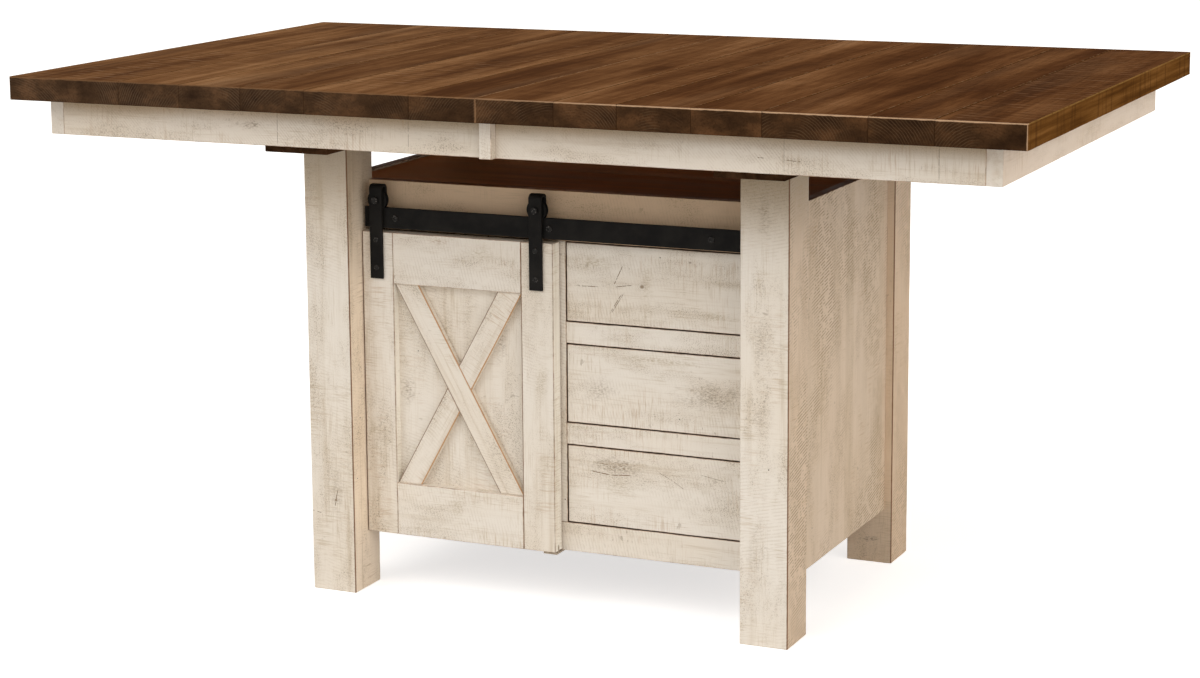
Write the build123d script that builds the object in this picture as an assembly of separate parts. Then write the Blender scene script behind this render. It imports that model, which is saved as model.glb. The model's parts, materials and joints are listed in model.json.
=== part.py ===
from build123d import *
import math
import os

# A counter-height extension table over a cabinet with a sliding door and three drawers.
# Millimetres. +X runs along the table to the right, -Y is the front, +Z is up.
# The origin is on the floor, under the middle of the closed top.

# ---- table top ----
TOP_LENGTH = 1780.0
TOP_DEPTH = 1080.0
TOP_THICKNESS = 40.0
TABLE_HEIGHT = 914.0
LEFT_PLANKS = (223.0, 119.0, 118.0, 120.0, 192.0)  # from the end inwards, the last fills up
RIGHT_PLANKS = (140.0, 102.0, 167.0, 115.0, 123.0, 107.0)
PLANK_EASE = 1.0
TOP_CORNER_RADIUS = 6.0
HALF_GAP = 0.6  # between the closed halves
EXTENSION_TRAVEL = 305.0  # of each half

# ---- aprons ----
APRON_HEIGHT = 62.0
APRON_THICKNESS = 24.0
END_APRON_THICKNESS = 26.0
APRON_INSET = 50.0
APRON_EASE = 1.2
BLOCK_WIDTH = 22.0
BLOCK_PROUD = 16.0
BLOCK_RELIEF = 0.4  # between the cover block and the right half's apron

# ---- alignment pins ----
PIN_RADIUS = 5.0
PIN_SOCKET = 25.0  # held in the left half
PIN_REACH = 18.0  # stands out of the left half
PIN_OFFSET = 330.0  # from the middle
PIN_CLEARANCE = 0.5
SNUG = 0.05  # radial clearance of a part that is fixed in its hole

# ---- legs and cleats ----
LEGS_LENGTH = 888.0  # over the legs' outer faces
LEGS_DEPTH = 630.0
LEG_WIDTH = 84.0
LEG_DEPTH = 90.0
LEG_EASE = 2.0
CLEAT_WIDTH = 120.0
CLEAT_THICKNESS = 24.0
CLEAT_LENGTH = 804.0
CLEAT_OUTSET = 24.0  # past the legs' outer faces

# ---- extension slides ----
SLIDE_OFFSET = 330.0  # from the middle to each fixed rail's centre line
RAIL_THICKNESS = 22.0
RAIL_LENGTH = 920.0
RAIL_HEADROOM = 6.0  # under the table top
RUNNER_THICKNESS = 20.0
RUNNER_LIFT = 4.0  # above the cleats
RUNNER_END_GAP = 34.0  # to the end apron
RUNNER_OVERLAP = 140.0  # past the middle, under the other half
DOVETAIL_DEPTH = 8.0
DOVETAIL_MOUTH = 12.0
DOVETAIL_FLARE = 3.0  # each side, from the mouth to the bottom
SLIDE_CLEARANCE = 0.5

# ---- equaliser ----
GEAR_MODULE = 2.5
GEAR_TEETH = 16
GEAR_WIDTH = 10.0
GEAR_HEADROOM = 4.0  # under the table top
PRESSURE_ANGLE = 20.0
ADDENDUM = 0.85  # in modules
DEDENDUM = 1.1
BACKLASH = 0.15  # taken off each flank's tooth
HUB_RADIUS = 12.0
EQUALISER_PIN_RADIUS = 5.0
RUNNING_CLEARANCE = 0.08
FACE_CLEARANCE = 0.3
BAR_WIDTH = 70.0
BAR_THICKNESS = 18.0
RACK_BACK = 10.0  # depth behind the teeth
RACK_TAIL = 420.0  # from the middle to the fixed end
RACK_MARGIN = 16.0  # teeth past the middle at full travel
RACK_PAD_LENGTH = 40.0
RACK_PAD_PLACES = (120.0, 380.0)

# ---- cabinet ----
CABINET_DROP = 64.0  # below the cleats
CABINET_LIFT = 100.0  # above the floor
SIDE_THICKNESS = 18.0
SIDE_SETBACK = 14.0
FRAME_SETBACK = 77.0  # behind the legs' front faces
FRAME_THICKNESS = 20.0
TOP_RAIL = 85.0
BOTTOM_RAIL = 50.0
DRAWER_RAIL = 37.0
CENTRE_STILE = 30.0
OUTER_STILE = 19.0
BOARD_THICKNESS = 18.0  # bottom, top and inner walls
TOP_BOARD_DROP = 4.0
BACK_THICKNESS = 12.0
SHELF_HEIGHT = 282.0  # above the bottom board
SHELF_FRONT_GAP = 14.0
SHELF_PLAY = 1.0
BATTEN_THICKNESS = 12.0
BATTEN_HEIGHT = 25.0

# ---- door ----
DOOR_LAP = 20.0  # over the centre stile
DOOR_END_GAP = 1.0  # to the left leg
DOOR_CLEARANCE = 3.0  # in front of the face frame
DOOR_THICKNESS = 27.0
DOOR_LIFT = 2.0  # above the cabinet's underside
DOOR_DROP = 86.0  # below the cabinet's upper edge
DOOR_STILE = 60.0
DOOR_TOP_RAIL = 89.0
DOOR_BOTTOM_RAIL = 93.0
DOOR_PANEL_RECESS = 17.0
DOOR_PANEL_THICKNESS = 6.0
DOOR_PANEL_TONGUE = 6.0
DOOR_GROOVE_PLAY = 0.1
BRACE_CUT = 46.0  # a brace's width along the rails
BRACE_THICKNESS = 12.0
DOOR_EASE = 1.0

# ---- sliding door hardware ----
TRACK_ABOVE_DOOR = 7.0
TRACK_HEIGHT = 36.0
TRACK_THICKNESS = 6.0
TRACK_END_GAP = 6.0  # to the legs
TRACK_FROM_STRAP = 3.0
TRACK_BOLT_INSET = 59.0
TRACK_BOLT_PITCH = 292.5
TRACK_BOLT_RADIUS = 3.0
TRACK_BOLT_BITE = 14.0
TRACK_EASE = 1.0
TRACK_HEAD_RADIUS = 6.0
TRACK_HEAD_HEIGHT = 2.4
SPACER_RADIUS = 8.0
STRAP_WIDTH = 24.0
STRAP_THICKNESS = 5.0
STRAP_REACH = 81.0  # down the door's face
STRAP_INSET = 30.0  # a strap's centre line from the door's edge
STRAP_BEND = 4.0  # inner radius over the wheel
STRAP_OUTER_BEND = 8.5
STRAP_BACK_DROP = 9.5  # of the rear leg below the axle
STRAP_SCREW_DROPS = (13.0, 62.0)
SCREW_HEAD_RADIUS = 5.0
SCREW_HEAD_HEIGHT = 1.6
WHEEL_RADIUS = 18.2
WHEEL_GROOVE_RADIUS = 12.2
WHEEL_WIDTH = 10.0
WHEEL_SIDE_GAP = 1.0
WHEEL_TOP_GAP = 4.3
WHEEL_GROOVE_PLAY = 0.4
AXLE_RADIUS = 4.0
AXLE_HEAD_RADIUS = 6.5
AXLE_HEAD_HEIGHT = 4.0
AXLE_NUT_HEIGHT = 4.5
GUIDE_WIDTH = 25.0
GUIDE_PLATE = 3.0
GUIDE_FIN = 3.0
GUIDE_FIN_HEIGHT = 10.0
GUIDE_SLOT_PLAY = 1.5
GUIDE_FRONT_INSET = 6.0  # the plate's front edge behind the door's face

# ---- drawers ----
DRAWER_REVEAL = 2.0
DRAWER_SIDE = 12.0
DRAWER_LENGTH = 400.0
DRAWER_BOX_LIFT = 8.0
DRAWER_BOX_DROP = 20.0
DRAWER_BOTTOM = 6.0
DRAWER_BOTTOM_LIFT = 14.0
DRAWER_GROOVE = 6.0
DRAWER_EASE = 1.0
CHANNEL_SPACE = 12.5  # beside the drawer box
CHANNEL_WALL = 1.5
CHANNEL_DEPTH = 9.5
CHANNEL_HEIGHT = 36.0
CHANNEL_LENGTH = 415.0
CHANNEL_CLEARANCE = 0.5
INNER_CHANNEL_DEPTH = 9.5
INNER_CHANNEL_LENGTH = 395.0

# ---- levels and planes worked out from the sizes above ----
top_underside = TABLE_HEIGHT - TOP_THICKNESS
cleat_top = top_underside - APRON_HEIGHT
leg_top = cleat_top - CLEAT_THICKNESS
cabinet_top = leg_top - CABINET_DROP
leg_outer_x = LEGS_LENGTH / 2
leg_inner_x = leg_outer_x - LEG_WIDTH
leg_outer_y = LEGS_DEPTH / 2
leg_inner_y = leg_outer_y - LEG_DEPTH
side_outer_x = leg_outer_x - SIDE_SETBACK
side_inner_x = side_outer_x - SIDE_THICKNESS
frame_front = -leg_outer_y + FRAME_SETBACK
frame_back = frame_front + FRAME_THICKNESS
frame_low = CABINET_LIFT + BOTTOM_RAIL
frame_high = cabinet_top - TOP_RAIL
floor_board_top = CABINET_LIFT + BOARD_THICKNESS
shelf_low = floor_board_top + SHELF_HEIGHT
top_board_top = cabinet_top - TOP_BOARD_DROP
top_board_underside = top_board_top - BOARD_THICKNESS
centre_right = CENTRE_STILE / 2
drawer_right = leg_inner_x - OUTER_STILE
drawer_opening = (frame_high - frame_low - 2 * DRAWER_RAIL) / 3

door_back = frame_front - DOOR_CLEARANCE
door_front = door_back - DOOR_THICKNESS
door_left = -leg_inner_x + DOOR_END_GAP
door_right = -CENTRE_STILE / 2 + DOOR_LAP
door_low = CABINET_LIFT + DOOR_LIFT
door_high = cabinet_top - DOOR_DROP
panel_front = door_front + DOOR_PANEL_RECESS
brace_front = panel_front - BRACE_THICKNESS
door_inner_left = door_left + DOOR_STILE
door_inner_right = door_right - DOOR_STILE
door_inner_low = door_low + DOOR_BOTTOM_RAIL
door_inner_high = door_high - DOOR_TOP_RAIL
strap_places = (door_left + STRAP_INSET, door_right - STRAP_INSET)

track_front = door_front + TRACK_FROM_STRAP
track_back = track_front + TRACK_THICKNESS
track_low = door_high + TRACK_ABOVE_DOOR
track_high = track_low + TRACK_HEIGHT
track_middle_y = (track_front + track_back) / 2
track_left = -leg_inner_x + TRACK_END_GAP
axle_height = track_high + FACE_CLEARANCE + WHEEL_GROOVE_RADIUS
strap_inside = WHEEL_WIDTH + 2 * WHEEL_SIDE_GAP
strap_rear = door_front + strap_inside

pitch_radius = GEAR_MODULE * GEAR_TEETH / 2
gear_top = top_underside - GEAR_HEADROOM
gear_low = gear_top - GEAR_WIDTH


def board(x, y, z):
    """A straight board between two limits along each axis."""
    size = [high - low for low, high in (x, y, z)]
    middle = [(high + low) / 2 for low, high in (x, y, z)]
    return Pos(*middle) * Box(*size)


def eased(part, axis, amount):
    """The part with its edges along one axis chamfered."""
    return chamfer(part.edges().filter_by(axis), amount)


def both(part, plane):
    """The part and its mirror image, as two solids."""
    return [part, part.mirror(plane)]


def rod_along_y(radius, y, place):
    """A rod between two limits along Y, centred at a place (across, height)."""
    across, height = place
    return Pos(across, sum(y) / 2, height) * Rot(90, 0, 0) * Cylinder(radius, y[1] - y[0])


def extruded_along_x(points, x):
    """A prism whose section is a list of (y, z) points, from one x to another."""
    section = make_face(Polyline(*[(0, y, z) for y, z in points], close=True))
    prism = extrude(section, amount=x[1] - x[0], dir=(1, 0, 0))
    return Pos(x[0], 0, 0) * prism


# ---- the two halves of the top ----


def plank_edges(widths):
    """The planks' limits, from the table's end to its middle."""
    at = TOP_LENGTH / 2
    limits = []
    for width in widths:
        limits.append((at - width, at))
        at -= width
    limits.append((HALF_GAP / 2, at))
    return limits


def pin_places():
    """Where each alignment pin sits, as (y, z)."""
    return [(y, TABLE_HEIGHT - TOP_THICKNESS / 2) for y in (-PIN_OFFSET, PIN_OFFSET)]


def planks(widths, side, hole_radius, hole_depth):
    """One half's planks. side is -1 for the left half and 1 for the right."""
    solids = []
    depth = (-TOP_DEPTH / 2, TOP_DEPTH / 2)
    height = (top_underside, TABLE_HEIGHT)
    for index, (low, high) in enumerate(plank_edges(widths)):
        x = (low, high) if side > 0 else (-high, -low)
        plank = board(x, depth, height)
        if index == 0:
            corners = plank.edges().filter_by(Axis.Z).sort_by(Axis.X)
            corners = corners[-2:] if side > 0 else corners[:2]
            plank = fillet(corners, TOP_CORNER_RADIUS)
        plank = chamfer(plank.faces().sort_by(Axis.Z)[-1].edges(), PLANK_EASE)
        if index == len(widths):
            for y, z in pin_places():
                hole = Pos(side * (HALF_GAP / 2 + hole_depth / 2), y, z)
                plank -= hole * Rot(0, 90, 0) * Cylinder(hole_radius, hole_depth)
        solids.append(plank)
    return solids


def alignment_pins():
    """Dowels set in the left half's inner edge."""
    length = PIN_SOCKET + PIN_REACH
    pin = Rot(0, 90, 0) * Cylinder(PIN_RADIUS, length)
    middle = -HALF_GAP / 2 - PIN_SOCKET + length / 2
    return [Pos(middle, y, z) * pin for y, z in pin_places()]


def long_aprons(side):
    """The front and back aprons of one half."""
    outer = TOP_LENGTH / 2 - APRON_INSET - END_APRON_THICKNESS
    x = sorted((side * HALF_GAP / 2, side * outer))
    face = TOP_DEPTH / 2 - APRON_INSET
    front = board(x, (-face, -face + APRON_THICKNESS), (cleat_top, top_underside))
    return both(eased(front, Axis.X, APRON_EASE), Plane.XZ)


def end_apron(side):
    outer = TOP_LENGTH / 2 - APRON_INSET
    x = sorted((side * outer, side * (outer - END_APRON_THICKNESS)))
    face = TOP_DEPTH / 2 - APRON_INSET
    apron = board(x, (-face, face), (cleat_top, top_underside))
    return eased(apron, Axis.Y, APRON_EASE)


def cover_blocks():
    """Upright blocks on the left half that hide the apron joint, front and back."""
    face = TOP_DEPTH / 2 - APRON_INSET
    height = (cleat_top, top_underside)
    seated = board((-BLOCK_WIDTH / 2, -HALF_GAP / 2), (-face - BLOCK_PROUD, -face), height)
    lapping = board(
        (-HALF_GAP / 2, BLOCK_WIDTH / 2), (-face - BLOCK_PROUD, -face - BLOCK_RELIEF), height
    )
    block = seated + lapping
    front_edges = block.edges().filter_by(Axis.Z).group_by(Axis.Y)[0]
    return both(chamfer(front_edges, APRON_EASE), Plane.XZ)


# ---- extension slides and equaliser ----


def dovetail(face, outward, grow):
    """Points of a dovetail from a face, going in the outward direction along Y.

    grow is negative for the tongue, which stays clear of the groove all round.
    """
    middle = (cleat_top + top_underside - RAIL_HEADROOM) / 2
    slope = DOVETAIL_FLARE / DOVETAIL_DEPTH
    start, end = (0.0, DOVETAIL_DEPTH) if grow == 0 else (grow, DOVETAIL_DEPTH + grow)
    mouth = DOVETAIL_MOUTH / 2 + grow + slope * start
    bottom = DOVETAIL_MOUTH / 2 + grow + slope * end
    near, far = face + outward * start, face + outward * end
    return (near, middle + mouth), (far, middle + bottom), (far, middle - bottom), (near, middle - mouth)


def fixed_rails():
    """The middle rail of each extension slide, grooved on both sides."""
    low, high = cleat_top, top_underside - RAIL_HEADROOM
    half = RAIL_THICKNESS / 2
    right = -SLIDE_OFFSET + half
    left = -SLIDE_OFFSET - half
    outline = [
        (left, low), (right, low),
        *reversed(dovetail(right, -1, 0)),
        (right, high), (left, high),
        *dovetail(left, 1, 0),
    ]
    return both(extruded_along_x(outline, (-RAIL_LENGTH / 2, RAIL_LENGTH / 2)), Plane.XZ)


def moving_rails(side):
    """The rails of one half. The left half's run outside the fixed rails, the right's inside."""
    inside = RAIL_THICKNESS / 2 + SLIDE_CLEARANCE
    face = -SLIDE_OFFSET + side * inside
    back = face + side * RUNNER_THICKNESS
    low = cleat_top + RUNNER_LIFT
    high = top_underside - RAIL_HEADROOM
    groove_face = -SLIDE_OFFSET + side * RAIL_THICKNESS / 2
    tongue = dovetail(groove_face, -side, -SLIDE_CLEARANCE)
    outline = [(back, high), (face, high), *tongue, (face, low), (back, low)]
    outer = TOP_LENGTH / 2 - APRON_INSET - END_APRON_THICKNESS - RUNNER_END_GAP
    x = sorted((side * outer, -side * RUNNER_OVERLAP))
    rail = extruded_along_x(outline, x)
    seat_x = sorted((side * outer, side * BAR_WIDTH / 2))
    seat = board(seat_x, sorted((face, back)), (high, top_underside))
    return both(rail + seat, Plane.XZ)


def equaliser_bar():
    """The batten under the fixed rails that carries the pinion's pin."""
    reach = SLIDE_OFFSET + RAIL_THICKNESS / 2
    bar = board((-BAR_WIDTH / 2, BAR_WIDTH / 2), (-reach, reach), (cleat_top - BAR_THICKNESS, cleat_top))
    hole = Pos(0, 0, cleat_top - BAR_THICKNESS / 2)
    return bar - hole * Cylinder(EQUALISER_PIN_RADIUS + SNUG, BAR_THICKNESS)


def equaliser_pin():
    low = cleat_top - BAR_THICKNESS
    return Pos(0, 0, (low + gear_top) / 2) * Cylinder(EQUALISER_PIN_RADIUS, gear_top - low)


def involute(base_radius, radius):
    """The angle that an involute has turned through where it reaches a radius."""
    roll = math.sqrt(max((radius / base_radius) ** 2 - 1, 0))
    return roll - math.atan(roll)


def gear_outline():
    """Points round a spur gear with a tooth centred on +Y."""
    base = pitch_radius * math.cos(math.radians(PRESSURE_ANGLE))
    tip = pitch_radius + ADDENDUM * GEAR_MODULE
    root = pitch_radius - DEDENDUM * GEAR_MODULE
    half_tooth = (math.pi * GEAR_MODULE / 2 - BACKLASH) / (2 * pitch_radius)
    at_pitch = involute(base, pitch_radius)
    steps = 3
    radii = [base + (tip - base) * i / (steps - 1) for i in range(steps)]
    flank = [(r, half_tooth + at_pitch - involute(base, r)) for r in radii]
    flank.insert(0, (root, flank[0][1]))
    tooth = [(r, -angle) for r, angle in flank] + [(r, angle) for r, angle in reversed(flank)]
    points = []
    for index in range(GEAR_TEETH):
        centre = -math.pi / 2 + 2 * math.pi * index / GEAR_TEETH
        points += [(r * math.cos(centre + a), r * math.sin(centre + a)) for r, a in tooth]
    return points


def equaliser_pinion():
    """The pinion with its long hub, which stands on the bar."""
    outline = make_face(Polyline(*gear_outline(), close=True))
    gear = Pos(0, 0, gear_low) * extrude(outline, amount=GEAR_WIDTH)
    hub_low = cleat_top + FACE_CLEARANCE
    hub = Pos(0, 0, (hub_low + gear_low) / 2) * Cylinder(HUB_RADIUS, gear_low - hub_low)
    bore = Cylinder(EQUALISER_PIN_RADIUS + RUNNING_CLEARANCE, 2 * TABLE_HEIGHT)
    return gear + hub - bore


def rack():
    """The left half's rack, in front of the pinion, with a tooth gap at the middle."""
    pitch = math.pi * GEAR_MODULE
    slope = math.tan(math.radians(PRESSURE_ANGLE))
    crest = -pitch_radius + ADDENDUM * GEAR_MODULE
    valley = -pitch_radius - DEDENDUM * GEAR_MODULE
    back = valley - RACK_BACK
    half = (pitch / 2 - BACKLASH) / 2
    half_crest = half - ADDENDUM * GEAR_MODULE * slope
    half_root = half + DEDENDUM * GEAR_MODULE * slope
    first = -math.ceil(RACK_MARGIN / pitch)
    last = math.ceil((EXTENSION_TRAVEL + RACK_MARGIN) / pitch)
    points = [(-RACK_TAIL, back), (-RACK_TAIL, valley)]
    for index in range(first, last):
        centre = (index + 0.5) * pitch
        points += [
            (centre - half_root, valley), (centre - half_crest, crest),
            (centre + half_crest, crest), (centre + half_root, valley),
        ]
    points += [(last * pitch, valley), (last * pitch, back)]
    bar = Pos(0, 0, gear_low) * extrude(make_face(Polyline(*points, close=True)), amount=GEAR_WIDTH)
    for place in RACK_PAD_PLACES:
        x = (-place - RACK_PAD_LENGTH / 2, -place + RACK_PAD_LENGTH / 2)
        bar += board(x, (back, valley), (gear_top, top_underside))
    return bar


# ---- base and cabinet ----


def leg(side_x, side_y):
    x = sorted((side_x * leg_inner_x, side_x * leg_outer_x))
    y = sorted((side_y * leg_inner_y, side_y * leg_outer_y))
    return eased(board(x, y, (0, leg_top)), Axis.Z, LEG_EASE)


def cleats():
    """Boards across the tops of each pair of legs, which carry the slides."""
    outer = leg_outer_x + CLEAT_OUTSET
    cleat = board(
        (outer - CLEAT_WIDTH, outer), (-CLEAT_LENGTH / 2, CLEAT_LENGTH / 2), (leg_top, cleat_top)
    )
    return both(cleat, Plane.YZ)


def side_panel(side):
    x = sorted((side * side_inner_x, side * side_outer_x))
    return board(x, (-leg_inner_y, leg_inner_y), (CABINET_LIFT, cabinet_top))


def back_panel():
    return board(
        (-leg_inner_x, leg_inner_x), (leg_inner_y, leg_inner_y + BACK_THICKNESS), (CABINET_LIFT, cabinet_top)
    )


def cabinet_board(low):
    """The bottom or the top board, notched round the face frame between the legs."""
    height = (low, low + BOARD_THICKNESS)
    whole = board((-side_inner_x, side_inner_x), (-leg_inner_y, leg_inner_y), height)
    notch = board((-leg_inner_x, leg_inner_x), (-leg_inner_y, frame_back), height)
    return whole - notch


def frame_member(x, z):
    return board(x, (frame_front, frame_back), z)


def outer_stiles():
    stile = frame_member((drawer_right, leg_inner_x), (frame_low, frame_high))
    return both(stile, Plane.YZ)


def track_bolt_places():
    """Where each bolt of the track sits, as (across, height)."""
    first = track_left + TRACK_BOLT_INSET
    return [(first + i * TRACK_BOLT_PITCH, (track_low + track_high) / 2) for i in range(3)]


def frame_rail_top():
    rail = frame_member((-leg_inner_x, leg_inner_x), (frame_high, cabinet_top))
    for place in track_bolt_places():
        rail -= rod_along_y(TRACK_BOLT_RADIUS + SNUG, (frame_front, frame_front + TRACK_BOLT_BITE), place)
    return rail


def opening_levels():
    """The low and high limits of the drawer openings, from the bottom up."""
    step = drawer_opening + DRAWER_RAIL
    return [(frame_low + i * step, frame_low + i * step + drawer_opening) for i in range(3)]


def drawer_rails():
    """The two rails between the drawer openings."""
    levels = opening_levels()
    return [
        frame_member((centre_right, drawer_right), (below[1], above[0]))
        for below, above in zip(levels, levels[1:])
    ]


def inner_wall(x):
    return board(x, (frame_back, leg_inner_y), (floor_board_top, top_board_underside))


def shelf():
    left = -side_inner_x + SHELF_PLAY
    right = centre_right - BOARD_THICKNESS - SHELF_PLAY
    return board((left, right), shelf_depth(), (shelf_low, shelf_low + BOARD_THICKNESS))


def shelf_depth():
    return (frame_back + SHELF_FRONT_GAP, leg_inner_y - SHELF_PLAY)


def shelf_battens():
    """Strips on the cabinet's side and on the partition, which carry the shelf."""
    walls = ((-side_inner_x, 1), (centre_right - BOARD_THICKNESS, -1))
    return [
        board(
            sorted((wall, wall + inward * BATTEN_THICKNESS)), shelf_depth(), (shelf_low - BATTEN_HEIGHT, shelf_low)
        )
        for wall, inward in walls
    ]


# ---- door ----


def guide_slot():
    """The groove along the door's bottom edge for the guide's fin."""
    half = GUIDE_FIN / 2 + GUIDE_SLOT_PLAY
    middle = (door_front + door_back) / 2
    depth = GUIDE_FIN_HEIGHT - DOOR_LIFT + 2 * GUIDE_SLOT_PLAY
    return board((door_left, door_right), (middle - half, middle + half), (door_low, door_low + depth))


def panel_space(grow):
    """The room that the door panel takes, with its tongues, grown by a clearance."""
    edge = DOOR_PANEL_TONGUE + grow
    return board(
        (door_inner_left - edge, door_inner_right + edge),
        (panel_front - grow, panel_front + DOOR_PANEL_THICKNESS + grow),
        (door_inner_low - edge, door_inner_high + edge),
    )


def door_member(x, z, axis):
    member = board(x, (door_front, door_back), z)
    long_edges = member.edges().filter_by(axis).group_by(Axis.Y)[0]
    return chamfer(long_edges, DOOR_EASE) - panel_space(DOOR_GROOVE_PLAY) - guide_slot()


def door_stiles():
    sides = ((door_left, door_inner_left), (door_inner_right, door_right))
    return [door_member(x, (door_low, door_high), Axis.Z) for x in sides]


def brace_outline(top_x, bottom_x):
    """A slanting board in the panel's opening, cut along the rails."""
    width = BRACE_CUT if top_x < bottom_x else -BRACE_CUT
    points = [
        (top_x, door_inner_high), (top_x + width, door_inner_high),
        (bottom_x, door_inner_low), (bottom_x - width, door_inner_low),
    ]
    face = make_face(Polyline(*[(x, brace_front, z) for x, z in points], close=True))
    return extrude(face, amount=BRACE_THICKNESS, dir=(0, 1, 0))


def long_brace():
    return brace_outline(door_inner_left, door_inner_right)


def short_braces():
    """The two braces that butt against the long one."""
    crossing = brace_outline(door_inner_right, door_inner_left)
    return list((crossing - long_brace()).solids())


def strap_hanger(x):
    """A flat bar bent over the wheel, with its long leg and screw heads down the door's face."""
    low = door_high - STRAP_REACH
    high = axle_height + WHEEL_RADIUS + WHEEL_TOP_GAP
    rear_low = axle_height - STRAP_BACK_DROP
    outside = STRAP_THICKNESS
    outline = [
        (door_front - outside, low), (door_front - outside, high + outside),
        (strap_rear + outside, high + outside), (strap_rear + outside, rear_low),
        (strap_rear, rear_low), (strap_rear, high), (door_front, high), (door_front, low),
    ]
    strap = extruded_along_x(outline, (x - STRAP_WIDTH / 2, x + STRAP_WIDTH / 2))
    strap = fillet(strap.edges().filter_by(Axis.X).group_by(Axis.Z)[-1], STRAP_OUTER_BEND)
    inside = strap.edges().filter_by(Axis.X).filter_by_position(Axis.Z, high - SNUG, high + SNUG)
    strap = fillet(inside, STRAP_BEND)
    strap -= rod_along_y(AXLE_RADIUS + SNUG, (door_front - outside, strap_rear + outside), (x, axle_height))
    for drop in STRAP_SCREW_DROPS:
        face = (door_front - outside - SCREW_HEAD_HEIGHT, door_front - outside)
        strap += rod_along_y(SCREW_HEAD_RADIUS, face, (x, door_high - drop))
    return strap


def wheel_axle(x):
    """A hexagon-head axle bolt with its nut behind the strap."""
    front = door_front - STRAP_THICKNESS
    rear = strap_rear + STRAP_THICKNESS
    head = extrude(RegularPolygon(AXLE_HEAD_RADIUS, 6), amount=AXLE_HEAD_HEIGHT)
    nut = extrude(RegularPolygon(AXLE_HEAD_RADIUS, 6), amount=AXLE_NUT_HEIGHT)
    bolt = rod_along_y(AXLE_RADIUS, (front, rear), (x, axle_height))
    bolt += Pos(x, front, axle_height) * Rot(90, 0, 0) * head
    return bolt + Pos(x, rear + AXLE_NUT_HEIGHT, axle_height) * Rot(90, 0, 0) * nut


def wheel(x):
    """A grooved wheel whose flanges stand each side of the track."""
    bore = AXLE_RADIUS + RUNNING_CLEARANCE
    side = WHEEL_WIDTH / 2
    groove = TRACK_THICKNESS / 2 + WHEEL_GROOVE_PLAY
    half = [(bore, side), (WHEEL_RADIUS, side), (WHEEL_RADIUS, groove), (WHEEL_GROOVE_RADIUS, groove)]
    points = half + [(radius, -along) for radius, along in reversed(half)]
    section = make_face(Polyline(*points, close=True))
    return Pos(x, track_middle_y, axle_height) * revolve(section, Axis.Y)


def door_track():
    right = leg_inner_x - TRACK_END_GAP
    bar = board((track_left, right), (track_front, track_back), (track_low, track_high))
    bar = eased(bar, Axis.Y, TRACK_EASE)
    for place in track_bolt_places():
        bar -= rod_along_y(TRACK_BOLT_RADIUS + SNUG, (track_front, track_back), place)
    return bar


def track_spacer(place):
    length = (track_back, frame_front)
    return rod_along_y(SPACER_RADIUS, length, place) - rod_along_y(TRACK_BOLT_RADIUS + SNUG, length, place)


def track_bolt(place):
    """A bolt through the track and its spacer into the top rail."""
    head = rod_along_y(TRACK_HEAD_RADIUS, (track_front - TRACK_HEAD_HEIGHT, track_front), place)
    return head + rod_along_y(TRACK_BOLT_RADIUS, (track_front, frame_front + TRACK_BOLT_BITE), place)


def door_guide():
    """A plate under the bottom rail whose fin runs in the groove under the door."""
    x = (door_right - GUIDE_WIDTH, door_right)
    front = door_front + GUIDE_FRONT_INSET
    plate = board(x, (front, frame_back), (CABINET_LIFT - GUIDE_PLATE, CABINET_LIFT))
    middle = (door_front + door_back) / 2
    fin = board(
        x, (middle - GUIDE_FIN / 2, middle + GUIDE_FIN / 2), (CABINET_LIFT, CABINET_LIFT + GUIDE_FIN_HEIGHT)
    )
    return plate + fin


# ---- drawers ----


def drawer_front(level):
    x = (centre_right + DRAWER_REVEAL, drawer_right - DRAWER_REVEAL)
    z = (level[0] + DRAWER_REVEAL, level[1] - DRAWER_REVEAL)
    front = frame_member(x, z)
    return chamfer(front.faces().sort_by(Axis.Y)[0].edges(), DRAWER_EASE)


def drawer_box(level):
    """Two sides, a back and a bottom that slides into their grooves."""
    left = centre_right + CHANNEL_SPACE
    right = drawer_right - CHANNEL_SPACE
    y = (frame_back, frame_back + DRAWER_LENGTH)
    front_low = level[0] + DRAWER_REVEAL
    z = (front_low + DRAWER_BOX_LIFT, level[1] - DRAWER_REVEAL - DRAWER_BOX_DROP)
    bottom_z = (front_low + DRAWER_BOTTOM_LIFT, front_low + DRAWER_BOTTOM_LIFT + DRAWER_BOTTOM)
    bottom = board(
        (left + DRAWER_SIDE - DRAWER_GROOVE, right - DRAWER_SIDE + DRAWER_GROOVE),
        (y[0], y[1] - DRAWER_SIDE + DRAWER_GROOVE),
        bottom_z,
    )
    left_side = board((left, left + DRAWER_SIDE), y, z) - bottom
    right_side = board((right - DRAWER_SIDE, right), y, z) - bottom
    back = board((left + DRAWER_SIDE, right - DRAWER_SIDE), (y[1] - DRAWER_SIDE, y[1]), z) - bottom
    return [left_side, right_side, back, bottom]


def channel_height(level):
    """The height of a drawer's runners, halfway up its box."""
    return (level[0] + DRAWER_BOX_LIFT + level[1] - DRAWER_BOX_DROP) / 2


def channel(web, mouth, height, length, half_height):
    """A C-shaped runner with its web at one x and its mouth at another."""
    inside = 1 if mouth > web else -1
    y = (frame_back + CHANNEL_WALL, frame_back + CHANNEL_WALL + length)
    outer = board(sorted((web, mouth)), y, (height - half_height, height + half_height))
    low = half_height - CHANNEL_WALL
    inner = board(sorted((web + inside * CHANNEL_WALL, mouth)), y, (height - low, height + low))
    return outer - inner


def fixed_runners():
    """The outer runner on each side of every drawer."""
    runners = []
    for level in opening_levels():
        for wall, inward in ((centre_right, 1), (drawer_right, -1)):
            runners.append(
                channel(
                    wall, wall + inward * CHANNEL_DEPTH, channel_height(level), CHANNEL_LENGTH, CHANNEL_HEIGHT / 2
                )
            )
    return runners


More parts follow.
